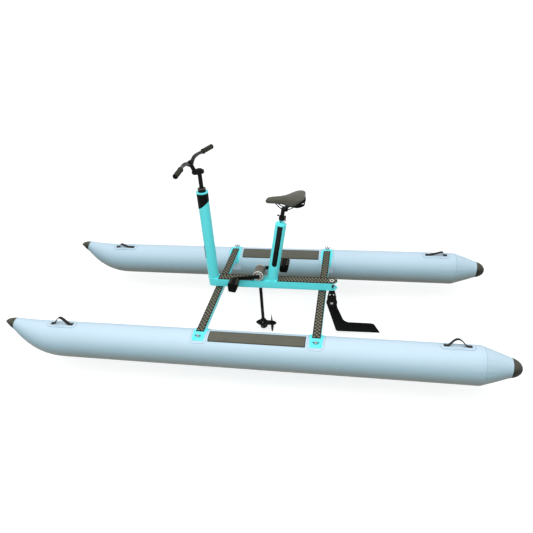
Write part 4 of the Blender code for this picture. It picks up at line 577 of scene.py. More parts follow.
def add_piece(name, bm, finish_name, body, replaces=(), crease=32.0):
    """Make the shape a piece of the bike: its finish, the body it rides on and the CAD nodes it stands for."""
    mesh = bpy.data.meshes.new(name)
    bm.to_mesh(mesh)
    bm.free()
    mesh.materials.append(finish(finish_name))
    mesh.shade_smooth()
    mesh.set_sharp_from_angle(angle=math.radians(crease))
    obj = bpy.data.objects.new(name, mesh)
    bpy.context.scene.collection.objects.link(obj)
    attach(obj, body)
    if replaces:
        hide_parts(*replaces)
    return obj


def add_modifier(obj, kind, **values):
    """A modifier with its values."""
    modifier = obj.modifiers.new(kind.lower(), kind)
    for key, value in values.items():
        setattr(modifier, key, value)
    return modifier


def dress(node, finish_name):
    """Give a CAD node that stays visible a detailed material."""
    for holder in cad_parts[node].material_slots:
        holder.material = finish(finish_name)


# Materials


def put(tree, kind, values=(), **inputs):
    """Add a node; an input that is a socket is linked, any other is set. i0, i1 mean inputs by number."""
    node = tree.nodes.new(kind)
    for key, value in dict(values).items():
        setattr(node, key, value)
    for key, value in inputs.items():
        socket = node.inputs[int(key[1:]) if key[0] == "i" and key[1:].isdigit() else key.replace("_", " ")]
        if isinstance(value, bpy.types.NodeSocket):
            tree.links.new(value, socket)
        else:
            socket.default_value = value
    return node


def math_node(tree, operation, *values, clamp=False):
    """The result of a Math node."""
    inputs = {f"i{i}": value for i, value in enumerate(values)}
    return put(tree, "ShaderNodeMath", {"operation": operation, "use_clamp": clamp}, **inputs).outputs[0]


def times(tree, first, second, clamp=False):
    """One value times another."""
    return math_node(tree, "MULTIPLY", first, second, clamp=clamp)


def plus(tree, first, second):
    """One value and another."""
    return math_node(tree, "ADD", first, second)


def between(tree, value, low, high, to_low=0.0, to_high=1.0):
    """A value mapped from one range to another."""
    limits = {"From_Min": low, "From_Max": high, "To_Min": to_low, "To_Max": to_high}
    return put(tree, "ShaderNodeMapRange", {"clamp": True}, Value=value, **limits).outputs["Result"]


def mix_colours(tree, factor, first, second, blend="MIX"):
    """Two colours mixed."""
    node = put(tree, "ShaderNodeMix", {"data_type": "RGBA", "blend_type": blend})
    for index, value in ((0, factor), (6, first), (7, second)):
        if isinstance(value, bpy.types.NodeSocket):
            tree.links.new(value, node.inputs[index])
        else:
            node.inputs[index].default_value = value if index == 0 else (*value, 1.0)
    return node.outputs[2]


def object_coordinates(tree):
    """A socket with the object coordinates."""
    return tree.nodes.new("ShaderNodeTexCoord").outputs["Object"]


def noise(tree, scale, detail=3.0, roughness=0.5, vector=None):
    """A noise texture's value."""
    place = object_coordinates(tree) if vector is None else vector
    node = put(tree, "ShaderNodeTexNoise", Vector=place, Scale=scale, Detail=detail, Roughness=roughness)
    return node.outputs["Fac"]


def new_group(name, inputs, outputs):
    """A shader node group with its sockets; gives the tree, what comes in and what goes out."""
    tree = bpy.data.node_groups.new(name, "ShaderNodeTree")
    for label, kind, value in inputs:
        socket = tree.interface.new_socket(name=label, in_out="INPUT", socket_type=kind)
        socket.default_value = value
    for label, kind in outputs:
        tree.interface.new_socket(name=label, in_out="OUTPUT", socket_type=kind)
    return tree, tree.nodes.new("NodeGroupInput").outputs, tree.nodes.new("NodeGroupOutput").inputs


VALUE_SOCKET = "NodeSocketFloat"
COLOUR_SOCKET = "NodeSocketColor"


def tone_drift_group():
    """Colour that drifts slowly over a surface, with finer dusty clouds."""
    tree, given, result = new_group(
        "tone drift",
        (("Color", COLOUR_SOCKET, (1, 1, 1, 1)), ("Scale", VALUE_SOCKET, 4.0), ("Amount", VALUE_SOCKET, 0.08)),
        (("Color", COLOUR_SOCKET),),
    )
    broad = noise(tree, given["Scale"], 2.0)
    fine = noise(tree, times(tree, given["Scale"], 11.0), 4.0, 0.65)
    both = plus(tree, times(tree, broad, 0.65), times(tree, fine, 0.35))
    swing = times(tree, math_node(tree, "SUBTRACT", both, 0.5), times(tree, given["Amount"], 4.0))
    level = plus(tree, swing, 1.0)
    toned = put(tree, "ShaderNodeVectorMath", {"operation": "SCALE"}, i0=given["Color"], Scale=level)
    tree.links.new(toned.outputs[0], result["Color"])
    return tree


def grain_group():
    """Height of a fine moulded or woven grain: cells with noise over them."""
    tree, given, result = new_group(
        "surface grain",
        (("Scale", VALUE_SOCKET, 600.0), ("Cells", VALUE_SOCKET, 0.5)),
        (("Height", VALUE_SOCKET),),
    )
    cells = put(tree, "ShaderNodeTexVoronoi", Vector=object_coordinates(tree), Scale=given["Scale"])
    fine = noise(tree, times(tree, given["Scale"], 1.7), 2.0)
    height = plus(tree, times(tree, cells.outputs["Distance"], given["Cells"]), fine)
    tree.links.new(height, result["Height"])
    return tree


def scuff_group():
    """Where a surface is rubbed: long thin streaks and small spots."""
    tree, given, result = new_group(
        "scuffs",
        (("Scale", VALUE_SOCKET, 12.0), ("Amount", VALUE_SOCKET, 0.3)),
        (("Mask", VALUE_SOCKET),),
    )
    stretched = put(
        tree, "ShaderNodeMapping", Vector=object_coordinates(tree), Rotation=(0.3, 0.2, 0.5), Scale=(1.0, 5.0, 7.0)
    ).outputs[0]
    streak = noise(tree, given["Scale"], 5.0, 0.7, stretched)
    spots = noise(tree, times(tree, given["Scale"], 6.0), 3.0, 0.6)
    rubbed = times(tree, between(tree, streak, 0.55, 0.75), between(tree, spots, 0.45, 0.65))
    tree.links.new(times(tree, rubbed, given["Amount"], clamp=True), result["Mask"])
    return tree


def edge_wear_group():
    """Where an edge has been rubbed paler."""
    tree, given, result = new_group("edge wear", (("Amount", VALUE_SOCKET, 0.5),), (("Mask", VALUE_SOCKET),))
    rounded = put(tree, "ShaderNodeBevel", {"samples": 4}, Radius=0.0014).outputs[0]
    true = tree.nodes.new("ShaderNodeNewGeometry").outputs["Normal"]
    alike = put(tree, "ShaderNodeVectorMath", {"operation": "DOT_PRODUCT"}, i0=rounded, i1=true).outputs["Value"]
    edge = between(tree, alike, 0.97, 0.8)
    patchy = between(tree, noise(tree, 90.0, 4.0), 0.35, 0.7, 0.2, 1.0)
    worn = times(tree, times(tree, edge, patchy), given["Amount"], clamp=True)
    tree.links.new(worn, result["Mask"])
    return tree


GROUP_MAKERS = {
    "tone drift": tone_drift_group,
    "surface grain": grain_group,
    "scuffs": scuff_group,
    "edge wear": edge_wear_group,
}


def group(tree, name, **inputs):
    """An effect's node group placed in a material."""
    made = bpy.data.node_groups.get(name) or GROUP_MAKERS[name]()
    node = tree.nodes.new("ShaderNodeGroup")
    node.node_tree = made
    for key, value in inputs.items():
        socket = node.inputs[key]
        if isinstance(value, bpy.types.NodeSocket):
            tree.links.new(value, socket)
        else:
            socket.default_value = (*value, 1.0) if key == "Color" else value
    return node.outputs[0]


def surface(name, base, rough, drift, drift_scale, grain, depth, scuff, scuff_tone, metallic=0.0, cells=0.5, wear=0.0,
            wear_tone=1.6, height=None, tint=None, **shader_values):
    """A Principled material with drifting tone, scuffs, worn edges and grain; height adds its own relief, and tint
    adds its own colour pattern, and on the floats and caps painted shade.
    """
    material = bpy.data.materials.new(name)
    material.use_nodes = True
    tree = material.node_tree
    shader = tree.nodes["Principled BSDF"]
    shade = group(tree, "tone drift", Color=base, Scale=drift_scale, Amount=drift)
    if tint:
        shade = tint(tree, shade)
    rubbed = group(tree, "scuffs", Scale=12.0, Amount=scuff)
    paler = tuple(min(1.0, c + scuff_tone) for c in base)
    shade = mix_colours(tree, rubbed, shade, paler)
    if wear > 0:
        worn = group(tree, "edge wear", Amount=wear)
        shade = mix_colours(tree, worn, shade, tuple(min(1.0, c * wear_tone + 0.03) for c in base))
    tree.links.new(shade, shader.inputs["Base Color"])
    uneven = between(tree, noise(tree, 30.0, 4.0), 0.3, 0.7, max(0.02, rough - 0.05), rough + 0.06)
    tree.links.new(plus(tree, uneven, times(tree, rubbed, 0.25)), shader.inputs["Roughness"])
    shader.inputs["Metallic"].default_value = metallic
    fine = times(tree, group(tree, "surface grain", Scale=grain, Cells=cells), depth)
    if height:
        fine = plus(tree, fine, height(tree))
    bump = put(tree, "ShaderNodeBump", Strength=1.0, Distance=1.0, Height=fine)
    tree.links.new(bump.outputs[0], shader.inputs["Normal"])
    for key, value in shader_values.items():
        shader.inputs[key.replace("_", " ")].default_value = value
    return material


def coordinate(tree, axis):
    """One of the object coordinates."""
    return put(tree, "ShaderNodeSeparateXYZ", Vector=object_coordinates(tree)).outputs[axis]


def ripples(tree, value, pitch, depth):
    """Even ripples of a height along a value."""
    return times(tree, math_node(tree, "SINE", times(tree, value, FULL / pitch)), depth)


def canvas_height(tree):
    """The base cloth that telegraphs through a float's coating, and its slow unevenness."""
    along, up = (ripples(tree, coordinate(tree, axis), 0.0016, 0.000012) for axis in (0, 2))
    return plus(tree, plus(tree, along, up), times(tree, noise(tree, 9.0, 2.0), 0.0016))


# Painted shade of the floats: what their flanks and their underside are multiplied by
FLANK_PAINTED_SHADE = (0.634, 0.73, 0.733)
UNDERSIDE_PAINTED_SHADE = (0.805, 0.543, 0.4)


def facing_up(tree):
    """1 where a surface faces up, -1 where it faces down."""
    normal = tree.nodes.new("ShaderNodeNewGeometry").outputs["Normal"]
    return put(tree, "ShaderNodeSeparateXYZ", Vector=normal).outputs["Z"]


def painted_float_shade(tree, shade):
    """Painted shade: a float's flanks are painted a little darker than its back, and its underside greyer, where less
    light falls.
    """
    up = facing_up(tree)
    flank = mix_colours(tree, between(tree, up, 1.0, 0.2), (1.0, 1.0, 1.0), FLANK_PAINTED_SHADE)
    belly = mix_colours(tree, between(tree, up, 0.2, -0.8), (1.0, 1.0, 1.0), UNDERSIDE_PAINTED_SHADE)
    return mix_colours(tree, 1.0, shade, mix_colours(tree, 1.0, flank, belly, "MULTIPLY"), "MULTIPLY")


def painted_cap_shade(tree, shade):
    """Painted shade: the rubber caps darken to black where they face down."""
    below = between(tree, facing_up(tree), 0.7, 0.2)
    return mix_colours(tree, below, shade, mix_colours(tree, 1.0, shade, (0.1, 0.1, 0.07), "MULTIPLY"))


def foam_specks(tree, shade):
    """Dark open cells scattered over brushed foam."""
    cells = put(tree, "ShaderNodeTexVoronoi", Vector=object_coordinates(tree), Scale=36.0, Randomness=1.0)
    spots = between(tree, cells.outputs["Distance"], 0.1, 0.18, 1.0, 0.0)
    mask = times(tree, spots, between(tree, noise(tree, 17.0), 0.48, 0.56))
    pores = between(tree, noise(tree, 900.0, 2.0), 0.35, 0.6, 0.82, 1.05)
    toned = put(tree, "ShaderNodeVectorMath", {"operation": "SCALE"}, i0=shade, Scale=pores).outputs[0]
    return mix_colours(tree, times(tree, mask, 0.75), toned, (0.035, 0.032, 0.024))


def strap_height(tree):
    """Webbing: cross ribs along the strap and yarns across it."""
    run = put(tree, "ShaderNodeAttribute", {"attribute_name": "run"}).outputs["Fac"]
    row = times(tree, coordinate(tree, 1), FULL / 0.0032)
    wave = times(tree, math_node(tree, "SINE", row), 1.4)
    ribs = math_node(tree, "SINE", plus(tree, times(tree, run, FULL / 0.0022), wave))
    return plus(tree, times(tree, ribs, 0.00016), times(tree, math_node(tree, "SINE", row), 0.00008))


def raised_tint(tree, shade):
    """Dark ground with paler raised diamonds."""
    raised = put(tree, "ShaderNodeAttribute", {"attribute_name": "raised"}).outputs["Fac"]
    return mix_colours(tree, between(tree, raised, 0.2, 0.9), bike_colours().groove, shade)


def brushed_height(tree):
    """Fine turning marks of a lathe."""
    lines = put(tree, "ShaderNodeMapping", Vector=object_coordinates(tree), Scale=(40.0, 1400.0, 40.0)).outputs[0]
    return times(tree, noise(tree, 1.0, 2.0, 0.5, lines), 0.00003)


def leather_height(tree):
    """Pebbled grain and a few soft creases of a stretched cover."""
    pebbles = put(
        tree, "ShaderNodeTexVoronoi", {"feature": "SMOOTH_F1"}, Vector=object_coordinates(tree), Scale=420.0
    ).outputs["Distance"]
    return plus(tree, times(tree, pebbles, 0.00016), times(tree, noise(tree, 28.0, 3.0), 0.0005))


def orange_peel(tree):
    """The slight peel of thick powder coat."""
    return times(tree, noise(tree, 260.0, 1.0), 0.00004)


def bike_colours():
    """The colours that the user set."""
    return bpy.context.scene.water_bike_colours


def finish(name):
    """The material of this finish, made once."""
    label = f"{name} finish"
    found = bpy.data.materials.get(label)
    if found:
        return found
    values, own = FINISHES[name]
    base = tuple(getattr(bike_colours(), BASES.get(name, name)))
    return surface(label, base, *values, **own)


# Roughness, the tone's drift and its scale, the grain and its depth, scuffs and their tone; then what is its own,
# with painted shade among it for the floats and caps
FINISHES = {
    # The floats' colour carries painted shade on their flanks and underside
    "float_pvc": ((0.42, 0.02, 2.2, 900.0, 0.00002, 0.1, 0.05), dict(
        height=canvas_height, tint=painted_float_shade, Specular_IOR_Level=0.18,
    )),
    "patch_pvc": ((0.3, 0.05, 14.0, 800.0, 0.00003, 0.3, 0.06), dict(Coat_Weight=0.25, Coat_Roughness=0.2)),
    "seam": ((0.5, 0.1, 20.0, 900.0, 0.00006, 0.1, 0.12), {}),
    # The caps' colour carries painted shade that darkens them to black below
    "cap_rubber": ((0.58, 0.1, 18.0, 1100.0, 0.0001, 0.35, 0.03), dict(
        tint=painted_cap_shade, wear=0.35, wear_tone=1.5, Specular_IOR_Level=0.2,
    )),
    "foam": ((0.92, 0.07, 9.0, 1600.0, 0.00022, 0.45, 0.035), dict(
        cells=1.0, tint=foam_specks, Sheen_Weight=0.06, Sheen_Roughness=0.6, Specular_IOR_Level=0.15,
    )),
    "foam_rim": ((0.9, 0.08, 12.0, 1400.0, 0.0002, 0.3, 0.02), dict(cells=1.0, Specular_IOR_Level=0.15)),
    "webbing": ((0.82, 0.12, 40.0, 2400.0, 0.00008, 0.3, 0.04), dict(
        wear=0.3, wear_tone=2.2, height=strap_height, Sheen_Weight=0.1, Sheen_Roughness=0.5, Specular_IOR_Level=0.15,
    )),
    "frame_paint": ((0.34, 0.022, 3.0, 1200.0, 0.00001, 0.08, 0.08), dict(
        wear=0.3, wear_tone=1.2, height=orange_peel, Coat_Weight=0.15, Coat_Roughness=0.15, Specular_IOR_Level=0.3,
    )),
    "ribbed_grip": ((0.86, 0.12, 24.0, 1800.0, 0.00014, 0.4, 0.05), dict(
        cells=1.0, tint=raised_tint, Specular_IOR_Level=0.15,
    )),
    "black_alloy": ((0.4, 0.15, 20.0, 1500.0, 0.00002, 0.35, 0.02), dict(
        wear=0.5, wear_tone=5.0, Specular_IOR_Level=0.1,
    )),
    "black_gloss": ((0.24, 0.1, 20.0, 1500.0, 0.00001, 0.2, 0.02), dict(
        wear=0.2, wear_tone=2.5, Coat_Weight=0.04, Coat_Roughness=0.08, Specular_IOR_Level=0.14,
    )),
    "bar_gloss": ((0.22, 0.1, 20.0, 1500.0, 0.00001, 0.2, 0.03), dict(
        wear=0.2, wear_tone=2.5, Coat_Weight=0.12, Coat_Roughness=0.06, Specular_IOR_Level=0.25,
    )),
    "satin_steel": ((0.42, 0.07, 60.0, 1500.0, 0.00003, 0.25, -0.08), dict(metallic=0.35, height=brushed_height)),
    "blue_nylon": ((0.38, 0.08, 60.0, 1600.0, 0.00003, 0.3, 0.1), dict(wear=0.3, wear_tone=1.5)),
    "bright_steel": ((0.22, 0.08, 60.0, 1500.0, 0.00002, 0.25, 0.05), dict(metallic=1.0, height=brushed_height)),
    "grey_alloy": ((0.38, 0.08, 30.0, 1400.0, 0.00003, 0.4, 0.08), dict(
        metallic=0.55, wear=0.4, wear_tone=1.5, height=brushed_height,
    )),
    "black_plastic": ((0.5, 0.14, 25.0, 1300.0, 0.00008, 0.4, 0.015), dict(
        wear=0.45, wear_tone=4.0, Specular_IOR_Level=0.07,
    )),
    "grip_rubber": ((0.66, 0.12, 40.0, 1700.0, 0.00012, 0.35, 0.03), dict(
        cells=0.8, wear=0.4, wear_tone=1.8, Specular_IOR_Level=0.15,
    )),
    "saddle_cover": ((0.46, 0.09, 16.0, 2000.0, 0.00003, 0.35, 0.03), dict(
        height=leather_height, Sheen_Weight=0.06, Sheen_Roughness=0.4, Specular_IOR_Level=0.3,
    )),
    "thread": ((0.7, 0.1, 60.0, 3000.0, 0.00005, 0.1, 0.12), {}),
    "pale_bush": ((0.42, 0.06, 50.0, 1600.0, 0.00003, 0.3, -0.1), {}),
}
# The colour that a finish starts from, where their names differ
BASES = {"ribbed_grip": "ridge", "thread": "saddle_cover"}


# Floats


def bow_section(distance):
    """Height and radius of the float at a distance behind the bow tip."""
    left = max(0.0, 1 - distance / BOW_TAPER)
    return BOW_RISE * left**2.5, FLOAT_RADIUS * (1 - left**2.25)


def float_circle(x, z, radius, lean, y):
    """The matrix that carries a unit circle to one of the float's circles; lean slants its plane."""
    across = Vector((0, 1, 0)) * radius
    rise = Vector((-lean, 0, 1)) * radius
    turn = Matrix((across, rise, Vector((1, 0, 0)))).transposed().to_4x4()
    return shift(x, y, z) @ turn


def bow_circle(distance, y, proud=0.0):
    """The float's circle at a distance behind the bow tip."""
    z, radius = bow_section(distance)
    lean = BOW_LEAN * max(0.0, 1 - (distance - BOW_CAP) / (BOW_TAPER - BOW_CAP))
    return float_circle(BOW_TIP_X - distance, z, radius + proud, lean, y)


def stern_circle(x, y, proud=0.0):
    """The float's circle at a place on its straight part or on its stern cone."""
    if x >= SEAM_X:
        share = max(0.0, (SEAM_X + SHOULDER - x) / SHOULDER)
        lean = SEAM_LEAN * max(0.0, 1 - (x - SEAM_X) / 0.25)
        return float_circle(x, 0, FLOAT_RADIUS - SHOULDER_DROP * share**2 + proud, lean, y)
    share = (SEAM_X - x) / (SEAM_X - STERN_CAP_X)
    bulge = 0.0016 * math.sin(math.pi * share)
    radius = FLOAT_RADIUS - SHOULDER_DROP + (STERN_CAP_RADIUS - FLOAT_RADIUS + SHOULDER_DROP) * share + bulge
    lean = SEAM_LEAN + (STERN_CAP_LEAN - SEAM_LEAN) * share
    return float_circle(x, -STERN_CAP_DROP * share, radius + proud, lean, y)


def spread(start, stop, count):
    """Even values from start to stop."""
    return [start + (stop - start) * i / count for i in range(count + 1)]


def float_skin(y):
    """One inflated tube: smooth circles from cap to cap, with the slight puckers that its end seams draw."""
    stations = [bow_circle(distance, y) for distance in spread(BOW_CAP, BOW_TAPER, 40)]
    straight = spread(BOW_TIP_X - BOW_TAPER, SEAM_X + SHOULDER, 46)[1:]
    stern = spread(SEAM_X + SHOULDER, SEAM_X, 8)[1:] + spread(SEAM_X, STERN_CAP_X, 18)[1:]
    stations += [stern_circle(x, y) for x in straight + stern]
    bm = sweep(stations, sides=FLOAT_SIDES)
    for vert in bm.verts:
        away = vert.co.x - SEAM_X
        fade = math.exp(-((away / 0.06) ** 2)) * min(1.0, abs(away) / 0.008)
        angle = math.atan2(vert.co.z, vert.co.y - y)
        pucker = 0.00045 * fade * math.sin(18 * angle) + 0.0003 * fade * math.sin(31 * angle + 1)
        vert.co += Vector((0, math.cos(angle), math.sin(angle))) * pucker
    return bm


def seam_tape(x, width, y, proud=0.0008):
    """A welded tape round the float."""
    half = width / 2
    places = ((half, 0.0), (half - 0.001, proud), (0.0, proud), (0.001 - half, proud), (-half, 0.0))
    return sweep([stern_circle(x + at, y, high) for at, high in places], sides=FLOAT_SIDES)


def hoop(x, proud, thickness, y):
    """A thin round bead about the float."""
    points = ring_points(1.0, 0, FLOAT_SIDES, stern_circle(x, y, proud))
    stations = route_stations(points, (1, 0, 0), (thickness, thickness))
    return sweep(stations + [stations[0]], sides=8, closed=True)


def make_floats():
    """The two inflated tubes with their welded seams."""
    tape = bike_sizes().seam_width
    line_x = SEAM_X + 0.001
    front, back = BOW_TIP_X - BOW_TAPER - 0.02, SEAM_X + SHOULDER
    keel_half = tape * 0.7
    for side, y in FLOATS:
        skin = add_piece(f"float_skin_{side}", float_skin(y), "float_pvc", "hull", (f"float_{side}",), crease=50)
        add_piece(f"float_stern_tape_{side}", seam_tape(line_x + tape / 2, tape, y), "float_pvc", "hull")
        add_piece(f"float_stern_seam_{side}", hoop(line_x, 0.0002, 0.0011, y), "seam", "hull")
        keel = plate(rectangle((front - back) / 2, keel_half, ((front + back) / 2, 0)), 0.0012, corner=0.01)
        keel = bent(sliced(keel, -keel_half, keel_half, BEND_STEP), FLOAT_RADIUS, 0)
        add_piece(f"float_keel_tape_{side}", placed(keel, shift(0, y, 0) @ spin(180, "X")), "float_pvc", "hull")
        hem = sweep([bow_circle(BOW_CAP + at, y, proud) for at, proud in BOW_HEM], sides=FLOAT_SIDES)
        tail = sweep([stern_circle(STERN_CAP_X + at, y, proud) for at, proud in STERN_HEM], sides=FLOAT_SIDES)
        add_piece(f"float_end_hems_{side}", merged(hem, tail), "float_pvc", "hull")


def make_caps():
    """The rubber caps on the bows and sterns."""
    z, radius = bow_section(BOW_CAP)
    knots = [Vector((BOW_CAP - GAP, z, radius))] + [Vector(section) for section in BOW_CAP_SECTIONS]
    line = smooth_route(knots, 6)
    rim = STERN_CAP_RADIUS + 0.0012
    profile = [(0, 0.0002), *smooth_outline(STERN_CAP_OUTLINE, 5)]
    profile += [(rim, STERN_CAP - 0.0006), (rim, STERN_CAP - GAP), (0, STERN_CAP - GAP)]
    tilt = math.atan(STERN_CAP_LEAN)
    for side, y in FLOATS:
        nose = sweep([float_circle(BOW_TIP_X - at.x, at.y, at.z, BOW_LEAN, y) for at in line], sides=64)
        lip = [float_circle(BOW_TIP_X - BOW_CAP + at, z, radius * share, BOW_LEAN, y) for at, share in CAP_LIP]
        cap = merged(nose, sweep(lip, sides=64))
        add_piece(f"bow_cap_rubber_{side}", cap, "cap_rubber", "hull", (f"bow_cap_{side}",), crease=40)
        tip = shift(TAIL_TIP_X, y, -STERN_CAP_DROP - STERN_CAP * math.sin(tilt))
        cap = turned(profile, tip @ spin(90 - math.degrees(tilt), "Y"), 64)
        add_piece(f"stern_cap_rubber_{side}", cap, "cap_rubber", "hull", (f"stern_cap_{side}",), crease=40)


def make_valves():
    """The inflation valves: a flange, a fluted cap and its tether."""
    seat = [(0, 0), (0.0225, 0), (0.022, 0.0026), (0.017, 0.004), (0.0162, 0.0032), (0.015, 0.0032), (0, 0.0032)]
    loop = [(0.012, 0.003, 0.0046), (0.017, 0.009, 0.005), (0.014, 0.0165, 0.0044), (0.006, 0.0188, 0.0032)]
    flutes = 15
    for side, y in FLOATS:
        place = shift(VALVE_X, y, 0) @ spin(70, "X") @ shift(0, 0, FLOAT_RADIUS - 0.0004)
        cap = rod(0.0135, 0.003, 0.0092, place, 0.0012)
        bar = box((0.018, 0.0034, 0.0016), (0, 0, 0.0094), 0.0006, 2, place)
        tether = tube([place @ point for point in smooth_route(loop, 5)], 0.0009, sides=8)
        shapes = [turned(seat, place, 48, 0.0004), cap, bar, tether]
        for i in range(flutes):
            turn = place @ spin(360 / flutes * i, "Z")
            shapes.append(box((0.0016, 0.0022, 0.0046), (0.0135, 0, 0.006), 0.0004, 1, turn))
        add_piece(f"valve_body_{side}", merged(*shapes), "black_plastic", "hull", (f"valve_{side}",))


def arc_strip(bm, angles, radius, y, mirror=1, x=0.0):
    """A flat sheet cut into strips and bent over a float."""
    low, high = (math.radians(angle) * radius for angle in angles)
    return placed(bent(sliced(bm, low, high, BEND_STEP), radius, y, mirror), shift(x, 0, 0))


def edge_bead(outline, corner, radius, thickness, x, y, mirror=1):
    """A fine bead along the rounded outline of a sheet that is bent over a float."""
    flat = plate(outline, 0.001, corner=corner)
    points = [vert.co.copy() for vert in flat.verts if vert.co.z > 0]
    flat.free()
    centre = sum(points, Vector()) / len(points)
    points.sort(key=lambda co: math.atan2(co.y - centre.y, co.x - centre.x))
    line = []
    for before, after in zip(points, points[1:] + points[:1]):
        cuts = max(1, round((after - before).length / BEND_STEP))
        for i in range(cuts):
            at = before.lerp(after, i / cuts)
            angle = at.y / radius
            line.append(Vector((x + at.x, y + mirror * radius * math.sin(angle), radius * math.cos(angle))))
    stations = route_stations(line, (0, 0, 1), (thickness, thickness))
    return sweep(stations + [stations[0]], sides=6, closed=True)


def make_deck_pads():
    """The two foam deck pads: a brushed top on a darker lower layer."""
    radius = FLOAT_RADIUS + GAP
    rim = bike_sizes().pad_rim
    for side, y, angles in (("port", FLOAT_Y, (-13, 30)), ("starboard", -FLOAT_Y, (-3, 43))):
        low, high = (math.radians(angle) * radius for angle in angles)
        middle, half = (low + high) / 2, (high - low) / 2
        outline = rectangle(PAD_HALF, half, (0, middle))
        base = plate(outline, 0.0018, shift(0, 0, 0.0009), edge=0.0005, corner=0.006)
        add_piece(f"deck_pad_rim_{side}", arc_strip(base, angles, radius, y), "foam_rim", "hull")
        outline = rectangle(PAD_HALF - rim, half - rim, (0, middle))
        top = arc_strip(plate(outline, 0.0028, shift(0, 0, 0.0026), edge=0.0009, corner=0.008), angles, radius, y)
        pad = add_piece(f"deck_pad_top_{side}", top, "foam", "hull", (f"deck_pad_{side}",))


def strap_line(lean, low):
    """The route of a carrying strap over its patch: flat feet and a hump that leans towards one of them."""
    span, foot = 0.11, 0.027
    rise = bike_sizes().strap_rise * low
    points = [(-span / 2 - foot, 0.0), (-span / 2 - foot / 2, 0.0)]
    for share in spread(0, 1, 22):
        height = rise * math.sin(math.pi * share ** math.exp(-lean)) ** 1.15
        points.append((span * (share - 0.5), height))
    return points + [(span / 2 + foot / 2, 0.0), (span / 2 + foot, 0.0)]


def stitches(length_x, width_y, place):
    """A box of stitches with a cross in it."""
    corners = [Vector((x, y, 0)) for x, y in rectangle(length_x / 2, width_y / 2)]
    legs = list(zip(corners, corners[1:] + corners[:1])) + [(corners[0], corners[2]), (corners[1], corners[3])]
    shapes = []
    for start, end in legs:
        run = end - start
        count = max(2, round(run.length / 0.0036))
        turn = Matrix.Rotation(math.atan2(run.y, run.x), 4, "Z")
        for i in range(count):
            middle = Matrix.Translation(start + run * ((i + 0.5) / count))
            shapes.append(box((0.0026, 0.0007, 0.0007), edge=0.0, place=place @ middle @ turn))
    return merged(*shapes)


HANDLES = {
    "port": (("bow", 1.367, -0.16, 1.1, 3.0), ("stern", -1.227, -0.08, 1.0, 10.0)),
    "starboard": (("bow", 1.374, -0.9, 0.62, -10.0), ("stern", -1.231, 1.1, 0.6, -5.0)),
}


def make_handles():
    """The four carrying handles: glued patches, webbing straps and their stitching."""
    radius = FLOAT_RADIUS + 0.0004
    width = bike_sizes().strap_width
    thick = 0.0024
    half = 16.0
    arc = math.radians(half) * radius
    base = radius + 0.0014 + thick / 2
    right = [(0.96, -1.0), (1.0, -0.5), (1.0, 0.5), (0.96, 1.0)]
    outline = [(-1.0, -0.5), (-0.96, -1.0), *right, (-0.96, 1.0), (-1.0, 0.5)]
    for side, y in FLOATS:
        for end, x, lean, low, round_by in HANDLES[side]:
            about = shift(0, y, 0) @ spin(round_by, "X") @ shift(0, -y, 0)
            name = f"{end}_handle"
            patch = plate(rectangle(0.104, arc), 0.0014, shift(0, 0, 0.0007), edge=0.0004, corner=0.026)
            patch = placed(arc_strip(patch, (-half, half), radius, y, x=x), about)
            add_piece(f"{name}_patch_{side}", patch, "float_pvc", "hull")
            welt = edge_bead(rectangle(0.1025, arc - 0.0015), 0.025, radius + 0.0013, 0.0009, x, y)
            add_piece(f"{name}_welt_{side}", placed(welt, about), "seam", "hull")
            line = [Vector((x + px, y, base + pz)) for px, pz in strap_line(lean, low)]
            waists = [1 - 0.1 * math.sin(math.pi * i / (len(line) - 1)) ** 2 for i in range(len(line))]
            halves = [(width / 2 * waist, thick / 2) for waist in waists]
            strap = placed(sweep(route_stations(line, (0, 1, 0), halves), outline), about)
            add_piece(f"{name}_strap_{side}", strap, "webbing", "hull", (f"{name}_{side}",), crease=60)
            tops = [about @ shift(x + at, y, base + thick / 2 + 0.0002) for at in (-0.068, 0.068)]
            sewing = merged(*[stitches(0.018, width * 0.72, top) for top in tops])
            add_piece(f"{name}_stitches_{side}", sewing, "thread", "hull")


# Crossbars


def saddle_half(angle):
    """Half length of a crossbar's saddle, which flares on its inboard side; the angle is outboard positive."""
    return 0.04 + 0.008 * math.exp(-(((math.radians(angle) + math.radians(20)) / 0.3) ** 2))


def saddle_plate(outboard, x):
    """The bent plate that lies over a float."""
    low, high = -66.0, 30.0
    right = [(saddle_half(angle), math.radians(angle) * SADDLE_INSIDE) for angle in spread(low, high, 24)]
    bm = bmesh.new()
    verts = [bm.verts.new((px, py, 0)) for px, py in right + mirrored(right)]
    bm.faces.new(verts)
    ends = [verts[0], verts[len(right) - 1], verts[len(right)], verts[-1]]
    bevelled(bm, ends, 0.009, 5, "VERTICES", clamp=False)
    thickened(bm, SADDLE_PLATE)
    soften(bm, 0.0008)
    return arc_strip(bm, (low, high), SADDLE_INSIDE, outboard * FLOAT_Y, mirror=outboard, x=x)


def saddle_weld(outboard, x):
    """The bead where a crossbar meets its saddle: down one side, under the bar, and up the other."""
    bottom = CROSSBAR_TOP - CROSSBAR_HEIGHT
    half = CROSSBAR_WIDTH / 2
    low = math.asin(math.sqrt(SADDLE_OUTSIDE**2 - bottom**2) / SADDLE_OUTSIDE)
    line = circle(SADDLE_OUTSIDE, sides=20, start=QUARTER - low, stop=QUARTER - math.radians(4))
    side = [(outboard * (FLOAT_Y - across), up) for across, up in reversed(line)]
    points = [(x + half, y, z) for y, z in side]
    points += [(x + half * (1 - share), *side[-1]) for share in spread(0, 2, 14)[1:-1]]
    points += [(x - half, y, z) for y, z in reversed(side)]
    return weld_bead(points, bike_sizes().weld, (0, 0.3, 1))


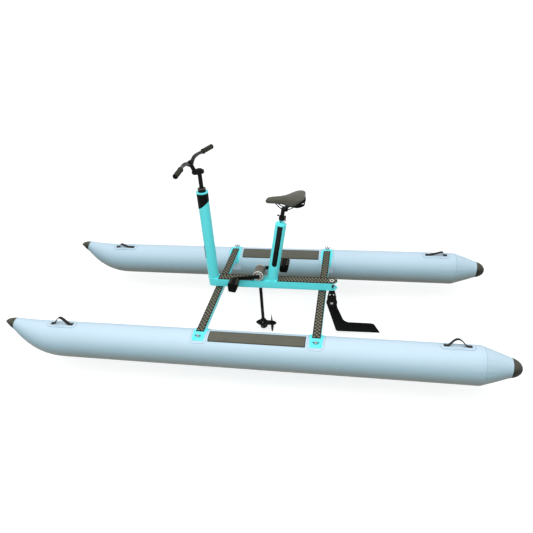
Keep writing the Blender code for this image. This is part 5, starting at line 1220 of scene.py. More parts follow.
def diamond_sheet(half_x, half_y, centre, bottom):
    """A sheet with staggered raised diamonds; it notes which points are raised."""
    sizes = bike_sizes()
    height = sizes.ridge_height
    ground = GRIP_THICKNESS - height
    bm = box((2 * half_x, 2 * half_y, ground), (centre[0], centre[1], bottom + ground / 2), 0.0004, 1)
    bm.verts.layers.float.new("raised")
    columns = max(1, round(2 * half_x / sizes.ridge_x))
    rows = max(1, round(2 * half_y / sizes.ridge_y))
    step_x, step_y = 2 * half_x / columns, 2 * half_y / rows
    left, front = centre[0] - half_x, centre[1] - half_y
    spots = []
    for i in range(columns):
        for j in range(rows):
            spots.append((left + step_x * (i + 0.5), front + step_y * (j + 0.5)))
            if i < columns - 1 and j < rows - 1:
                spots.append((left + step_x * (i + 1), front + step_y * (j + 1)))
    stud = bmesh.new()
    top_layer = stud.verts.layers.float.new("raised")
    ring = bmesh.ops.create_circle(stud, cap_ends=False, segments=4, radius=0.5)["verts"]
    bmesh.ops.scale(stud, vec=(step_x * DIAMOND_FILL, step_y * DIAMOND_FILL, 1), verts=ring)
    grown = bmesh.ops.extrude_edge_only(stud, edges=stud.edges[:])["geom"]
    upper = only_verts(grown)
    bmesh.ops.translate(stud, vec=(0, 0, height), verts=upper)
    bmesh.ops.scale(stud, vec=(DIAMOND_TOP, DIAMOND_TOP, 1), verts=upper)
    for vert in upper:
        vert[top_layer] = 1.0
    bmesh.ops.edgeloop_fill(stud, edges=only_edges(grown))
    bmesh.ops.edgeloop_fill(stud, edges=[edge for edge in stud.edges if edge.is_boundary])
    bmesh.ops.recalc_face_normals(stud, faces=stud.faces)
    mesh = bpy.data.meshes.new("stud")
    stud.to_mesh(mesh)
    stud.free()
    for x, y in spots:
        place = shift(x, y, bottom + ground - 0.00005)
        mesh.transform(place)
        bm.from_mesh(mesh)
        mesh.transform(place.inverted())
    bpy.data.meshes.remove(mesh)
    return bm


def thread_profile(radius, bottom, top, pitch=0.0012):
    """The outline of a threaded stud, from its top down."""
    points = [(0, top), (radius * 0.8, top)]
    count = int((top - bottom) / pitch)
    for i in range(count):
        points += [(radius, top - pitch * (i + 0.5)), (radius * 0.82, top - pitch * (i + 1))]
    return points + [(radius * 0.82, bottom), (0, bottom)]


def stud_place(x, outboard):
    """A stud's frame, on the float's axis with its Z along the stud."""
    return shift(x, outboard * FLOAT_Y, 0) @ spin(-outboard * STUD_ANGLE, "X")


def make_stud_patches():
    """The glued patches under the saddles, with their threaded studs."""
    radius = FLOAT_RADIUS + GAP
    low, high = -93, 38
    right = [(half, math.radians(angle) * radius) for angle, half in ((low, 0.054), (30, 0.054), (high, 0.034))]
    outline = right + mirrored(right)
    thread = thread_profile(0.0039, FLOAT_RADIUS + 0.0005, FLOAT_RADIUS + 0.0325)
    for end, x in CROSSBARS:
        for side, outboard in SIDES:
            name = f"stud_patch_{end}_{side}"
            y = outboard * FLOAT_Y
            sheet = plate(outline, 0.0008, shift(0, 0, 0.0004), corner=0.008)
            sheet = arc_strip(sheet, (low, high), radius, y, mirror=outboard, x=x)
            add_piece(f"{name}_sheet", sheet, "patch_pvc", "hull")
            bead = edge_bead(outline, 0.008, radius + 0.0006, 0.0007, x, y, outboard)
            add_piece(f"{name}_edge", bead, "seam", "hull")
            add_piece(f"{name}_stud", turned(thread, stud_place(x, outboard), 20), "bright_steel", "hull", (name,))


def make_wing_nuts():
    """The four wing nuts: a threaded hub with two pressed wings, and the nylon cuffs on them."""
    base = SADDLE_OUTSIDE + GAP
    rings = ((0.0044, 0.001), (0.0098, 0.001), (0.0096, 0.004), (0.0078, 0.0075), (0.0064, 0.0112), (0.0044, 0.0112))
    for end, x in CROSSBARS:
        for side, outboard in SIDES:
            name = f"wing_nut_{end}_{side}"
            place = stud_place(x, outboard)
            up = place @ shift(0, 0, base) @ UPRIGHT
            hub = turned(lifted(rings, base), place, 32, 0.0004)
            wings, cuffs = [], []
            for sign in (1, -1):
                for shapes, half, thick, edge in ((wings, WING, 0.0032, 0.0011), (cuffs, CUFF, 0.0042, 0.001)):
                    shapes.append(plate([(sign * wx, wz) for wx, wz in half][::sign], thick, up, edge=edge))
            add_piece(f"{name}_cuffs", merged(*cuffs), "blue_nylon", name)
            add_piece(f"{name}_metal", merged(hub, *wings), "bright_steel", name, (name,))


def make_crossbars():
    """The two crossbars: coped box tubes with bent saddles, welds, the block under the beam, bolts and grips."""
    middle = CROSSBAR_TOP - CROSSBAR_HEIGHT / 2
    block_top = BEAM_LOW.z - GAP
    block_middle = (block_top + CROSSBAR_TOP) / 2 - 0.002
    head_z = CROSSBAR_TOP - CROSSBAR_HEIGHT - GAP
    grip_half = CROSSBAR_WIDTH / 2 - 0.001
    inner, outer = 0.0183, FLOAT_Y - 0.006
    strip_half, strip_y = (outer - inner) / 2, (outer + inner) / 2
    block_half = 0.0203
    side_half = (grip_half - block_half) / 2
    for end, x in CROSSBARS:
        name = f"{end}_crossbar"
        bar = box((CROSSBAR_WIDTH, 2 * FLOAT_Y, CROSSBAR_HEIGHT), (x, 0, middle), 0.0045, 4)
        seats = [shift(x, side * FLOAT_Y, 0) @ spin(90, "Y") for side in (1, -1)]
        bar = carved(bar, *[rod(SADDLE_OUTSIDE - 0.0012, -0.05, 0.05, seat, 0, 128) for seat in seats])
        block = box((0.04, 0.036, block_top - CROSSBAR_TOP + 0.004), (x, 0, block_middle), 0.0015)
        add_piece(f"{name}_tube", merged(bar, block), "frame_paint", "hull", (name,))
        saddles = [saddle_plate(side, x) for side in (1, -1)]
        add_piece(f"{name}_saddles", merged(*saddles), "frame_paint", "hull")
        welds = [saddle_weld(side, x) for side in (1, -1)]
        add_piece(f"{name}_welds", merged(*welds), "frame_paint", "hull", crease=60)
        bolt = turned(thread_profile(0.004, head_z, BEAM_LOW.z + 0.012), shift(x, 0, 0), 20)
        hexagon = circle(0.0074, sides=6)
        head = plate(hexagon, 0.005, shift(x, 0, head_z - 0.0028), edge=0.0006)
        nut = plate(hexagon, 0.0062, shift(x, 0, BEAM_LOW.z + 0.0066), edge=0.0006)
        add_piece(f"{name}_bolt_metal", merged(bolt, head, nut), "bright_steel", "hull", (f"{name}_bolt",))
        sheets = [diamond_sheet(grip_half, strip_half, (x, sign * strip_y), GRIP_BOTTOM) for sign in (1, -1)]
        for sign in (1, -1):
            spot = (x + sign * (block_half + side_half), 0, GRIP_BOTTOM + 0.0006)
            sheets.append(box((2 * side_half, 0.0366, 0.0012), spot, 0.0003, 1))
        add_piece(f"{name}_grip_sheet", merged(*sheets), "ribbed_grip", "hull", (f"{name}_grip",))


# Beam


def stadium(radius, sides=32):
    """The beam's outline seen from above, with half-round ends about the mast and the rudder shaft."""
    front = circle(radius, (MAST_X, 0), sides, -QUARTER, QUARTER)
    return front + circle(radius, (RUDDER_X, 0), sides, QUARTER, 3 * QUARTER)


def make_beam():
    """The box beam: rounded edges, hollow, open at the rear between its two tongues."""
    wall, tongue = 0.003, 0.006
    low, high = BEAM_LOW.z, BEAM_HIGH.z
    middle, height = (low + high) / 2, high - low
    level = shift(0, 0, middle)
    mast, rudder, drive = (shift(x, 0, 0) for x in (MAST_X, RUDDER_X, DRIVE_X))
    inner = BEAM_HALF - wall
    shell = plate(stadium(BEAM_HALF), height, level, edge=0.0022, segments=3)
    inside = [point for point in stadium(inner) if point[0] > RUDDER_X]
    inside += [(RUDDER_X - 0.08, inner), (RUDDER_X - 0.08, -inner)]
    cuts = (
        plate(inside, height - 2 * wall, level),
        box((0.08, 0.2, height - 2 * tongue), (RUDDER_X - 0.04, 0, middle), 0),
        rod(0.0123, low - 0.01, high + 0.01, drive, 0),
        rod(0.0118, middle, high + 0.01, rudder, 0),
        rod(0.0084, low - 0.01, middle, rudder, 0),
        rod(0.017, middle, high + 0.01, mast, 0),
    )
    add_piece("beam_shell", carved(shell, *cuts), "frame_paint", "hull", ("main_beam",))
    half = BEAM_HALF - 0.001
    front = diamond_sheet(0.134, half, (0.247, 0), DECK)
    add_piece("front_deck_grip_sheet", front, "ribbed_grip", "hull", ("front_deck_grip",))
    start_x, stop_x = -0.058, RUDDER_X - half
    rear = diamond_sheet((start_x - stop_x) / 2, half, ((start_x + stop_x) / 2, 0), DECK)
    for x, y in circle(half, (RUDDER_X, 0), 24, QUARTER, 3 * QUARTER)[1:-1]:
        outward = Vector((x - RUDDER_X, y, 0)).normalized()
        whole = rear.verts[:] + rear.edges[:] + rear.faces[:]
        cut = bmesh.ops.bisect_plane(rear, geom=whole, plane_co=(x, y, 0), plane_no=outward, clear_outer=True)
        open_edges = [edge for edge in only_edges(cut["geom_cut"]) if edge.is_boundary]
        bmesh.ops.holes_fill(rear, edges=open_edges, sides=0)
    add_piece("rear_deck_grip_sheet", rear, "ribbed_grip", "hull", ("rear_deck_grip",))
    rings = ((0.0084, -0.006), (0.0114, -0.006), (0.0114, 0), (0.0165, 0), (0.0165, 0.0042), (0.0152, 0.0055),
             (0.01, 0.0055), (0.0084, 0.0045))
    bush = turned(lifted(rings, DECK), rudder, 48, 0.0002)
    add_piece("rudder_bush_ring", bush, "pale_bush", "hull", ("rudder_bush",))


# Mast


def mast_radius(z):
    """Outer radius of the tapered mast."""
    top = MAST_TOP - 0.009
    return 0.039 - 0.0002 * (z - DECK) / (top - DECK)


def wrap_shell(radius_at, outline, place=IDENTITY):
    """A thin sheet wrapped on a tube: the outline lists (angle in degrees, height)."""
    scale = 0.001
    flat = plate([(angle * scale, height) for angle, height in outline], 0.0004, shift(0, 0, 0.0002))
    angles = [angle * scale for angle, _ in outline]
    sliced(flat, min(angles), max(angles), 5 * scale, axis=0)
    for vert in flat.verts:
        angle = math.radians(vert.co.x / scale)
        reach = radius_at(vert.co.y) + GAP + vert.co.z
        vert.co = Vector((reach * math.cos(angle), reach * math.sin(angle), vert.co.y))
    bmesh.ops.remove_doubles(flat, verts=flat.verts, dist=0.00001)
    bmesh.ops.recalc_face_normals(flat, faces=flat.faces)
    return placed(flat, place)


def strip_outline(half_angle, bottom, top, round_bottom):
    """A long strip with a rounded lower end, as (angle, height)."""
    end = [(half_angle * x, bottom + round_bottom * (1 + y)) for x, y in circle(1, sides=12, start=math.pi)]
    return [(half_angle, top), (-half_angle, top)] + end


def make_mast():
    """The mast: a tapered tube with its top ring, weld, black sleeve and plain front strip, and its bearings."""
    top = MAST_TOP
    place = shift(MAST_X, 0, 0)
    foot = mast_radius(DECK)
    rings = [(0.0216, 0), (0.041, 0), (0.042, -0.001), (0.042, -0.006), (0.041, -0.007)]
    profile = lifted(rings, top) + [(mast_radius(top - 0.009), top - 0.0085), (foot, DECK), (foot - 0.0025, DECK)]
    profile += [(0.033, top - 0.02), (0.0216, top - 0.0145)]
    add_piece("mast_tube", turned(profile, place, 96), "frame_paint", "hull", ("head_tube",))
    weld = bike_sizes().weld * TUBE_WELD
    bead = weld_bead(ring_points(0.0398, DECK + 0.0012, 96, place), weld, (0, 0, 1), closed=True)
    add_piece("mast_weld", bead, "frame_paint", "hull", crease=60)
    outline = [(180, top - 0.0095), (-180, top - 0.0095)]
    for angle in spread(-180, 180, 72):
        forward = math.cos(math.radians(angle))
        outline.append((angle, 0.7835 - 0.0265 * forward - 0.004 * (1 - forward**2)))
    add_piece("mast_sleeve", wrap_shell(mast_radius, outline, place=place), "black_plastic", "hull")
    front = strip_outline(44, 0.366, 0.478, 0.012)
    add_piece("mast_front_strip", wrap_shell(mast_radius, front, place=place), "black_plastic", "hull")
    collar = [(0.0147, -0.012), (0.0212, -0.012), (0.0212, 0), (0.0258, 0), (0.0266, 0.0008), (0.0266, 0.0186),
              (0.0147, 0.019)]
    collar = turned(lifted(collar, top + GAP), place, 64)
    add_piece("upper_bearing_collar", collar, "black_alloy", "hull", ("upper_steering_bearing",))
    cap = [(0.0148, 0.0188), (0.0275, 0.0188), (0.0284, 0.0198), (0.0284, 0.0224), (0.0275, 0.0234), (0.0148, 0.0241)]
    cap = turned(lifted(cap, top + GAP), place, 64)
    add_piece("upper_bearing_cap", cap, "cap_rubber", "hull")
    dress("lower_steering_bearing", "grey_alloy")
    dress("steering_cable", "bright_steel")


# Steering


def cap_screw(radius, height, place):
    """A socket screw's head with its hexagon recess."""
    head = rod(radius, 0, height, place, radius * 0.16, 24)
    recess = plate(circle(radius * 0.5, sides=6), height, place @ shift(0, 0, height * 1.05))
    return carved(head, recess)


def make_steering():
    """The column and the clamped part of the stem, which turn together."""
    column = [(0, 1.0278), (0.0138, 1.0278), (0.0143, 1.0273), (0.0143, 0.187), *CABLE_DRUM, (0, 0.159)]
    column = turned(column, STEERING, 48)
    add_piece("steering_column_tube", column, "black_alloy", "steering", ("steering_column",))
    low, high, radius, bore = 1.003, 1.036, 0.0205, 0.0147
    profile = [(0, high), (0.012, high), (radius - 0.0025, high), (radius, high - 0.0025), (radius, low + 0.002),
               (radius - 0.002, low), (bore, low), (bore, 1.0283), (0, 1.0283)]
    barrel = turned(profile, STEERING, 64, 0.0004)
    column_hole = (bore, 0.98, 1.04, STEERING, 0, 48)
    pivot = STEERING @ Matrix.Translation(STEM_PIVOT)
    ears = plate(link_outline(0.017, 0.015, 0.015), 0.033, pivot @ spin(180, "Y") @ UPRIGHT, edge=0.0015)
    slot = box((0.04, 0.0178, 0.06), (0.0355, 0, 1.0135), 0, place=STEERING)
    barrel = carved(barrel, carved(ears, slot, rod(*column_hole)), operation="UNION")
    back = box((0.017, 0.024, 0.026), (-0.0225, 0, 1.0195), 0.003, 3, STEERING)
    slit = box((0.026, 0.0018, 0.05), (-0.0285, 0, 1.0195), 0, place=STEERING)
    back = carved(back, slit, rod(*column_hole))
    cap = [(0, 0.0016), (0.0095, 0.0016), (0.0108, 0.0004), (0.0108, 0), (0, 0)]
    cap = turned(lifted(cap, high), STEERING, 48)
    add_piece("stem_barrel", merged(barrel, back, cap), "black_alloy", "steering", ("stem_body",))
    screws = [cap_screw(0.0074, 0.0034, facing_out(pivot, side, 0.0166)) for side in (1, -1)]
    screws += [cap_screw(0.0038, 0.004, STEERING @ shift(-0.0245, 0.012, z) @ LYING) for z in (1.0125, 1.0265)]
    add_piece("stem_screws", merged(*screws), "black_gloss", "steering")


def make_handlebar():
    """The stem's arm with its faceplate, the riser bar and the ribbed grips, which tilt together."""
    reach = BAR_CLAMP - STEM_PIVOT
    turn = spin(-math.degrees(math.atan2(reach.z, reach.x)), "Y")
    arm_place = STEERING @ Matrix.Translation(STEM_PIVOT) @ turn @ UPRIGHT
    clamp_place = STEERING @ Matrix.Translation(BAR_CLAMP)
    across = clamp_place @ UPRIGHT
    neck = plate(link_outline(0.0125, 0.012, reach.length), 0.017, arm_place, edge=0.003, segments=3)
    neck = carved(neck, rod(0.0049, -0.02, 0.02, arm_place, 0))
    body = carved(neck, rod(0.019, -0.02, 0.02, across, 0.0018, 48), operation="UNION")
    split = box((0.0014, 0.05, 0.06), (0.004, 0, 0), 0, place=clamp_place @ turn)
    body = carved(body, rod(0.013, -0.03, 0.03, across, 0, 48), split)
    add_piece("stem_arm_forging", body, "black_alloy", "handlebar", ("stem_arm",))
    corners = [clamp_place @ turn @ shift(0, y, z) @ spin(90, "Y") for y, z in rectangle(0.0145, 0.0165)]
    shapes = [cap_screw(0.0033, 0.0034, corner @ shift(0, 0, 0.0115)) for corner in corners]
    shapes += [rod(0.0042, -0.004, 0.0118, corner, 0.0008, 20) for corner in corners]
    add_piece("stem_faceplate_screws", merged(*shapes), "black_gloss", "handlebar")
    port = [Vector(point) for point in BAR_ROUTE]
    line = smooth_route([Vector((at.x, -at.y, at.z)) for at in reversed(port[1:])] + port, 7)
    radii = [0.0111 + 0.0018 * min(1.0, max(0.0, (0.14 - abs(at.y)) / 0.05)) for at in line]
    bar = placed(tube(line, radii, sides=32), clamp_place)
    add_piece("handlebar_tube", bar, "bar_gloss", "handlebar", ("handlebar",), crease=50)
    ribs = 17
    for side, outboard in SIDES:
        start, end = (Vector((x, outboard * y, z)) for x, y, z in BAR_ROUTE[-2:])
        along = Vector((0, 0, 1)).rotation_difference(end - start).to_matrix().to_4x4()
        place = clamp_place @ Matrix.Translation(start) @ along
        total = (end - start).length
        profile = [(0.0114, 0.0), (0.0178, 0.0), (0.0185, 0.0012), (0.0185, 0.006), (0.0176, 0.0078), (0.016, 0.0084)]
        first, last = 0.0105, total - 0.01
        pitch = (last - first) / ribs
        for i in range(ribs):
            at = first + pitch * i
            low = 0.015 + 0.0006 * math.sin(math.pi * i / ribs)
            high = low + 0.0013
            profile += [(low, at), (high, at + 0.2 * pitch), (high, at + 0.62 * pitch), (low, at + 0.82 * pitch)]
        profile += [(0.0158, last), (0.0172, last + 0.0022)]
        profile += lifted([(0.0172, -0.002), (0.0156, 0), (0.0085, 0), (0.0078, -0.0012), (0, -0.0012)], total)
        grip = turned(profile, place, 40)
        add_piece(f"grip_rubber_{side}", grip, "grip_rubber", "handlebar", (f"grip_{side}",), crease=40)
        plug = [(0, 0.0006), (0.012, 0.0006), (0.0134, -0.0004), (0.0134, -0.0016), (0, -0.0016)]
        add_piece(f"grip_plug_{side}", turned(lifted(plug, total), place, 32), "black_plastic", "handlebar")


# Seat


def make_seat_tube():
    """The leaning seat tube with its plain strip, weld and neck screw."""
    radius, shoulder = 0.0385, 0.455
    rings = [(0.0168, 0.012), (0.018, 0.0085), (0.035, 0.0005), (0.0377, -0.0012), (radius, -0.004)]
    profile = [(0.0141, 0.508), (0.0162, 0.508), (0.0168, 0.5074)] + lifted(rings, shoulder)
    profile += [(radius, -0.02), (0.036, -0.02), (0.036, shoulder - 0.008), (0.0141, shoulder - 0.004)]
    floor = box((0.3, 0.3, 0.2), (SEAT_X, 0, DECK - 0.1), 0)
    shell = carved(turned(profile, SEAT, 96), floor)
    add_piece("seat_tube_shell", shell, "frame_paint", "hull", ("seat_tube",))
    along = SEAT.to_3x3() @ Vector((0, 0, 1))
    line = []
    for foot in ring_points(radius + 0.0008, 0, 96, SEAT):
        line.append(foot + along * ((BEAM_HIGH.z + 0.0014 - foot.z) / along.z))
    bead = weld_bead(line, bike_sizes().weld * TUBE_WELD, (0, 0, 1), closed=True)
    add_piece("seat_tube_weld", bead, "frame_paint", "hull", crease=60)
    flange = box((0.094, 2 * BEAM_HALF - 0.005, 0.003), (-0.0095, 0, BEAM_HIGH.z + 0.0018), 0.0012, 3)
    add_piece("seat_tube_flange", flange, "frame_paint", "hull")
    outline = strip_outline(27.0, 0.126, 0.449, 0.0165)
    strip = wrap_shell(lambda z: radius, outline, place=SEAT @ spin(91, "Z"))
    add_piece("seat_tube_strip", strip, "black_gloss", "hull")
    screw = SEAT @ shift(0, 0, 0.4755) @ spin(84, "Z") @ spin(90, "Y") @ shift(0, 0, 0.0162)
    add_piece("seat_neck_screw", cap_screw(0.0052, 0.0036, screw), "black_gloss", "hull")


def make_seat_clamp():
    """The clamp collar with its skewer, and the quick-release lever."""
    bottom, top = 0.485, 0.511
    middle = (bottom + top) / 2
    skewer_y = -0.0278
    eye = SEAT @ shift(-0.0195, skewer_y, middle)
    profile = [(0.0141, top), (0.0196, top), (0.0208, top - 0.0014), (0.0208, bottom + 0.0014), (0.0198, bottom),
               (0.0172, bottom), (0.0172, 0.5084), (0.0141, 0.5084)]
    lug = box((0.022, 0.018, 0.016), (0, skewer_y + 0.002, middle), 0.003, 3, SEAT)
    slit = box((0.0024, 0.03, 0.052), (0, -0.0305, middle), 0, place=SEAT)
    collar = carved(carved(turned(profile, SEAT, 64), lug, operation="UNION"), slit)
    add_piece("seat_clamp_collar", collar, "black_alloy", "hull", ("seat_clamp",))
    knob = [(0, 0.035), (0.0048, 0.035), (0.0068, 0.0332), (0.007, 0.027), (0.0058, 0.0252), (0.0026, 0.025),
            (0.0026, -0.0205), (0, -0.0205)]
    knob = turned(knob, SEAT @ shift(0, skewer_y, middle) @ spin(90, "Y"), 32)
    pin = rod(0.002, -0.0075, 0.0075, eye @ UPRIGHT, 0.0004, 16)
    add_piece("seat_clamp_skewer", merged(knob, pin), "black_alloy", "hull")
    pivot = eye @ spin(97, "Y")
    across = pivot @ UPRIGHT
    lever = plate(link_outline(0.0062, 0.0036, 0.034), 0.013, across, edge=0.0016, segments=3)
    fork = rod(0.0082, -0.0029, 0.0029, across, 0)
    hole = rod(0.0024, -0.02, 0.02, across, 0)
    hollow = box((0.02, 0.0075, 0.004), (0.021, 0, 0.0052), 0.001, 2, pivot)
    lever = carved(lever, fork, hole, hollow)
    node = "seat_clamp_lever"
    add_piece("seat_lever_metal", lever, "grey_alloy", node, (node,))


SADDLE_SECTIONS = (
    (0.137, 0.012, 0.055, 0.0455),
    (0.131, 0.0185, 0.0655, 0.044),
    (0.115, 0.022, 0.078, 0.044),
    (0.07, 0.024, 0.0815, 0.0445),
    (0.03, 0.029, 0.0845, 0.0435),
    (-0.001, 0.044, 0.089, 0.039),
    (-0.04, 0.07, 0.1, 0.033),
    (-0.064, 0.081, 0.107, 0.044),
    (-0.09, 0.085, 0.1095, 0.065),
    (-0.113, 0.077, 0.1055, 0.082),
    (-0.1285, 0.056, 0.096, 0.084),
)
RAIL_ROUTE = (
    (0.08, 0.011, 0.056), (0.068, 0.0125, 0.038), (0.046, 0.017, 0.016), (0.024, 0.021, 0.002), (0.0, 0.022, 0.0),
    (-0.017, 0.0225, 0.0004), (-0.036, 0.0235, 0.009), (-0.056, 0.025, 0.02), (-0.08, 0.027, 0.029),
    (-0.1, 0.028, 0.036),
)
WEB_OUTLINE = (
    (-0.048, 0.031), (-0.054, 0.02), (-0.072, 0.015), (-0.092, 0.0185), (-0.11, 0.025), (-0.123, 0.034),
    (-0.128, 0.05), (-0.1265, 0.068), (-0.122, 0.086), (-0.1, 0.08), (-0.078, 0.06), (-0.06, 0.042),
)


def saddle_ring(x, half, top, skirt):
    """One section of the saddle's cage, from the crown round the skirt's rim to the hollow underside."""
    depth = min(0.045, top - skirt)
    ceiling = max(skirt + 0.006, top - 0.048)
    waist = top - 0.445 * depth
    right = [(0.34 * half, top - 0.009 * depth), (0.66 * half, top - 0.09 * depth), (0.9 * half, top - 0.245 * depth),
             (1.0 * half, waist), (0.985 * half, waist * 0.45 + skirt * 0.55), (0.9 * half, skirt),
             (0.72 * half, skirt + 0.003), (0.55 * half, ceiling)]
    return [(x, y, z) for y, z in [(0.0, top)] + right + [(0.0, ceiling)] + mirrored(right)]


def make_saddle():
    """The seat post, the rails with their clamp, and the padded saddle on its shell."""
    head_place = POST_HEAD @ UPRIGHT
    head = rod(0.0135, -0.015, 0.015, head_place, 0.0015, 40)
    post = carved(rod(0.0136, 0.3, 0.572, SEAT, 0.0008, 48), head, operation="UNION")
    post = carved(post, rod(0.0054, -0.03, 0.03, head_place, 0))
    add_piece("seat_post_tube", post, "black_alloy", "seat_post", ("seat_post",))
    rails, clamps = [], [rod(0.0048, -0.019, 0.019, SADDLE @ UPRIGHT, 0, 24)]
    sockets = [box((0.02, 0.036, 0.014), (0.083, 0, 0.053), 0.003, 3, SADDLE)]
    sockets.append(box((0.03, 0.06, 0.01), (-0.08, 0, 0.034), 0.003, 3, SADDLE))
    eye = circle(0.0085, (-0.112, 0.05), 24)
    corners = smooth_outline(WEB_OUTLINE + WEB_OUTLINE[:1], 4)[:-1]
    for side in (1, -1):
        line = smooth_route([(x, side * y, z) for x, y, z in RAIL_ROUTE], 6)
        rails.append(placed(tube(line, 0.0035, (0, 1, 0), 16), SADDLE))
        low, high = sorted((side * 0.0154, side * 0.0274))
        clamps.append(rod(0.0145, low, high, SADDLE @ UPRIGHT, 0.002, 32))
        clamps.append(cap_screw(0.0062, 0.004, facing_out(SADDLE, side, 0.027)))
        web = SADDLE @ shift(0, side * 0.028, 0) @ UPRIGHT
        sockets.append(plate(corners, 0.009, web, holes=(eye,), edge=0.0014))
    add_piece("saddle_rail_bars", merged(*rails), "black_gloss", "saddle", ("saddle_rails",))
    add_piece("saddle_rail_clamps", merged(*clamps), "black_alloy", "saddle")
    pad = placed(lofted([saddle_ring(*section) for section in SADDLE_SECTIONS]), SADDLE)
    pad = add_piece("saddle_padding", pad, "saddle_cover", "saddle", ("saddle",), crease=180)
    add_modifier(pad, "SUBSURF", levels=3, render_levels=3)
    inner = []
    for x, half, top, skirt in SADDLE_SECTIONS[1:-1]:
        deep = max(skirt + 0.004, top - 0.046)
        right = [(0.91 * half, skirt + 0.003), (0.9 * half, skirt - 0.0012), (0.8 * half, skirt - 0.004),
                 (0.68 * half, skirt - 0.002), (0.5 * half, deep - 0.006)]
        ring = right + mirrored(right) + [(-0.5 * half, deep + 0.003), (0.5 * half, deep + 0.003)]
        inner.append([(x, y, z) for y, z in ring])
    shell = add_piece("saddle_shell", placed(lofted(inner), SADDLE), "black_plastic", "saddle", crease=180)
    add_modifier(shell, "SUBSURF", levels=2, render_levels=2)
    add_piece("saddle_rail_sockets", merged(*sockets), "black_plastic", "saddle")


# Drive


def make_housing():
    """The gear housing: a turned barrel with bright faces, a ring of screws and a black foot."""
    place = shift(DRIVE_X, 0, CRANK_Z) @ UPRIGHT
    radius, half = 0.0385, 0.05
    waist, neck = radius - 0.0014, radius - 0.001
    barrel = [(0.0104, -0.003), (0.0302, -0.003), (0.0302, -0.0062), (radius, -0.0062), (radius, -0.013),
              (waist, -0.0142), (waist, -0.0175), (radius, -0.0187), (radius, -0.0265), (neck, -0.0275),
              (neck, -0.03), (radius, -0.031)]
    barrel = lifted(barrel, half)
    barrel = turned(barrel + [(r, -h) for r, h in reversed(barrel)], place, 72)
    add_piece("gear_housing_barrel", barrel, "grey_alloy", "hull", ("gear_housing",))
    rim = [(0.0302, -0.001), (0.031, 0), (0.0372, 0), (0.0383, -0.001), (0.0383, -0.006), (0.0302, -0.006)]
    inner = [(0.0125, -0.0004), (0.0196, -0.0004), (0.0206, -0.0014), (0.0206, -0.003), (0.0125, -0.003)]
    screws, rings = [], []
    for face in (place, place @ spin(180, "X")):
        for i in range(6):
            screw = face @ spin(60 * i + 30, "Z") @ shift(0.0254, 0, half - 0.0032)
            screws.append(cap_screw(*SMALL_SCREW, screw))
        rings += [turned(lifted(profile, half), face, 64) for profile in (rim, inner)]
    add_piece("gear_housing_screws", merged(*screws), "bright_steel", "hull")
    add_piece("gear_housing_rings", merged(*rings), "satin_steel", "hull")
    foot = box((0.052, 0.066, 0.024), (DRIVE_X, 0, DECK + 0.012), 0.0025, 3)
    shapes = [carved(foot, rod(radius - 0.0005, -0.06, 0.06, place, 0, 64))]
    for x, y in rectangle(0.0225, 0.0285, (DRIVE_X, 0)):
        shapes.append(cap_screw(0.0034, 0.003, shift(x, y, DECK + 0.0105)))
    add_piece("gear_housing_foot", merged(*shapes), "black_alloy", "hull")
    dress("crank_spindle", "bright_steel")


def crank_arm(outboard):
    """A forged crank arm: thick boss, waisted sides, a milled pocket and the eye for the pedal."""
    thick = 0.012
    flip = IDENTITY if outboard > 0 else spin(180, "Y")
    place = CRANKS @ shift(0, outboard * (CRANK_OUTER - thick / 2), 0) @ flip @ UPRIGHT
    arm = plate(link_outline(0.0138, 0.0115, CRANK_LENGTH), thick, place, edge=0.0028, segments=3)
    pocket = plate(link_outline(0.0062, 0.0048, 0.092), 0.006, place @ shift(0.034, 0, -outboard * 0.0062))
    cap = place @ shift(0, 0, -outboard * thick / 2) @ (spin(180, "X") if outboard > 0 else IDENTITY)
    boss = turned([(0, 0.0012), (0.0092, 0.0012), (0.0104, 0.0), (0.0104, -0.003), (0, -0.003)], cap, 40)
    return merged(carved(arm, pocket), boss)


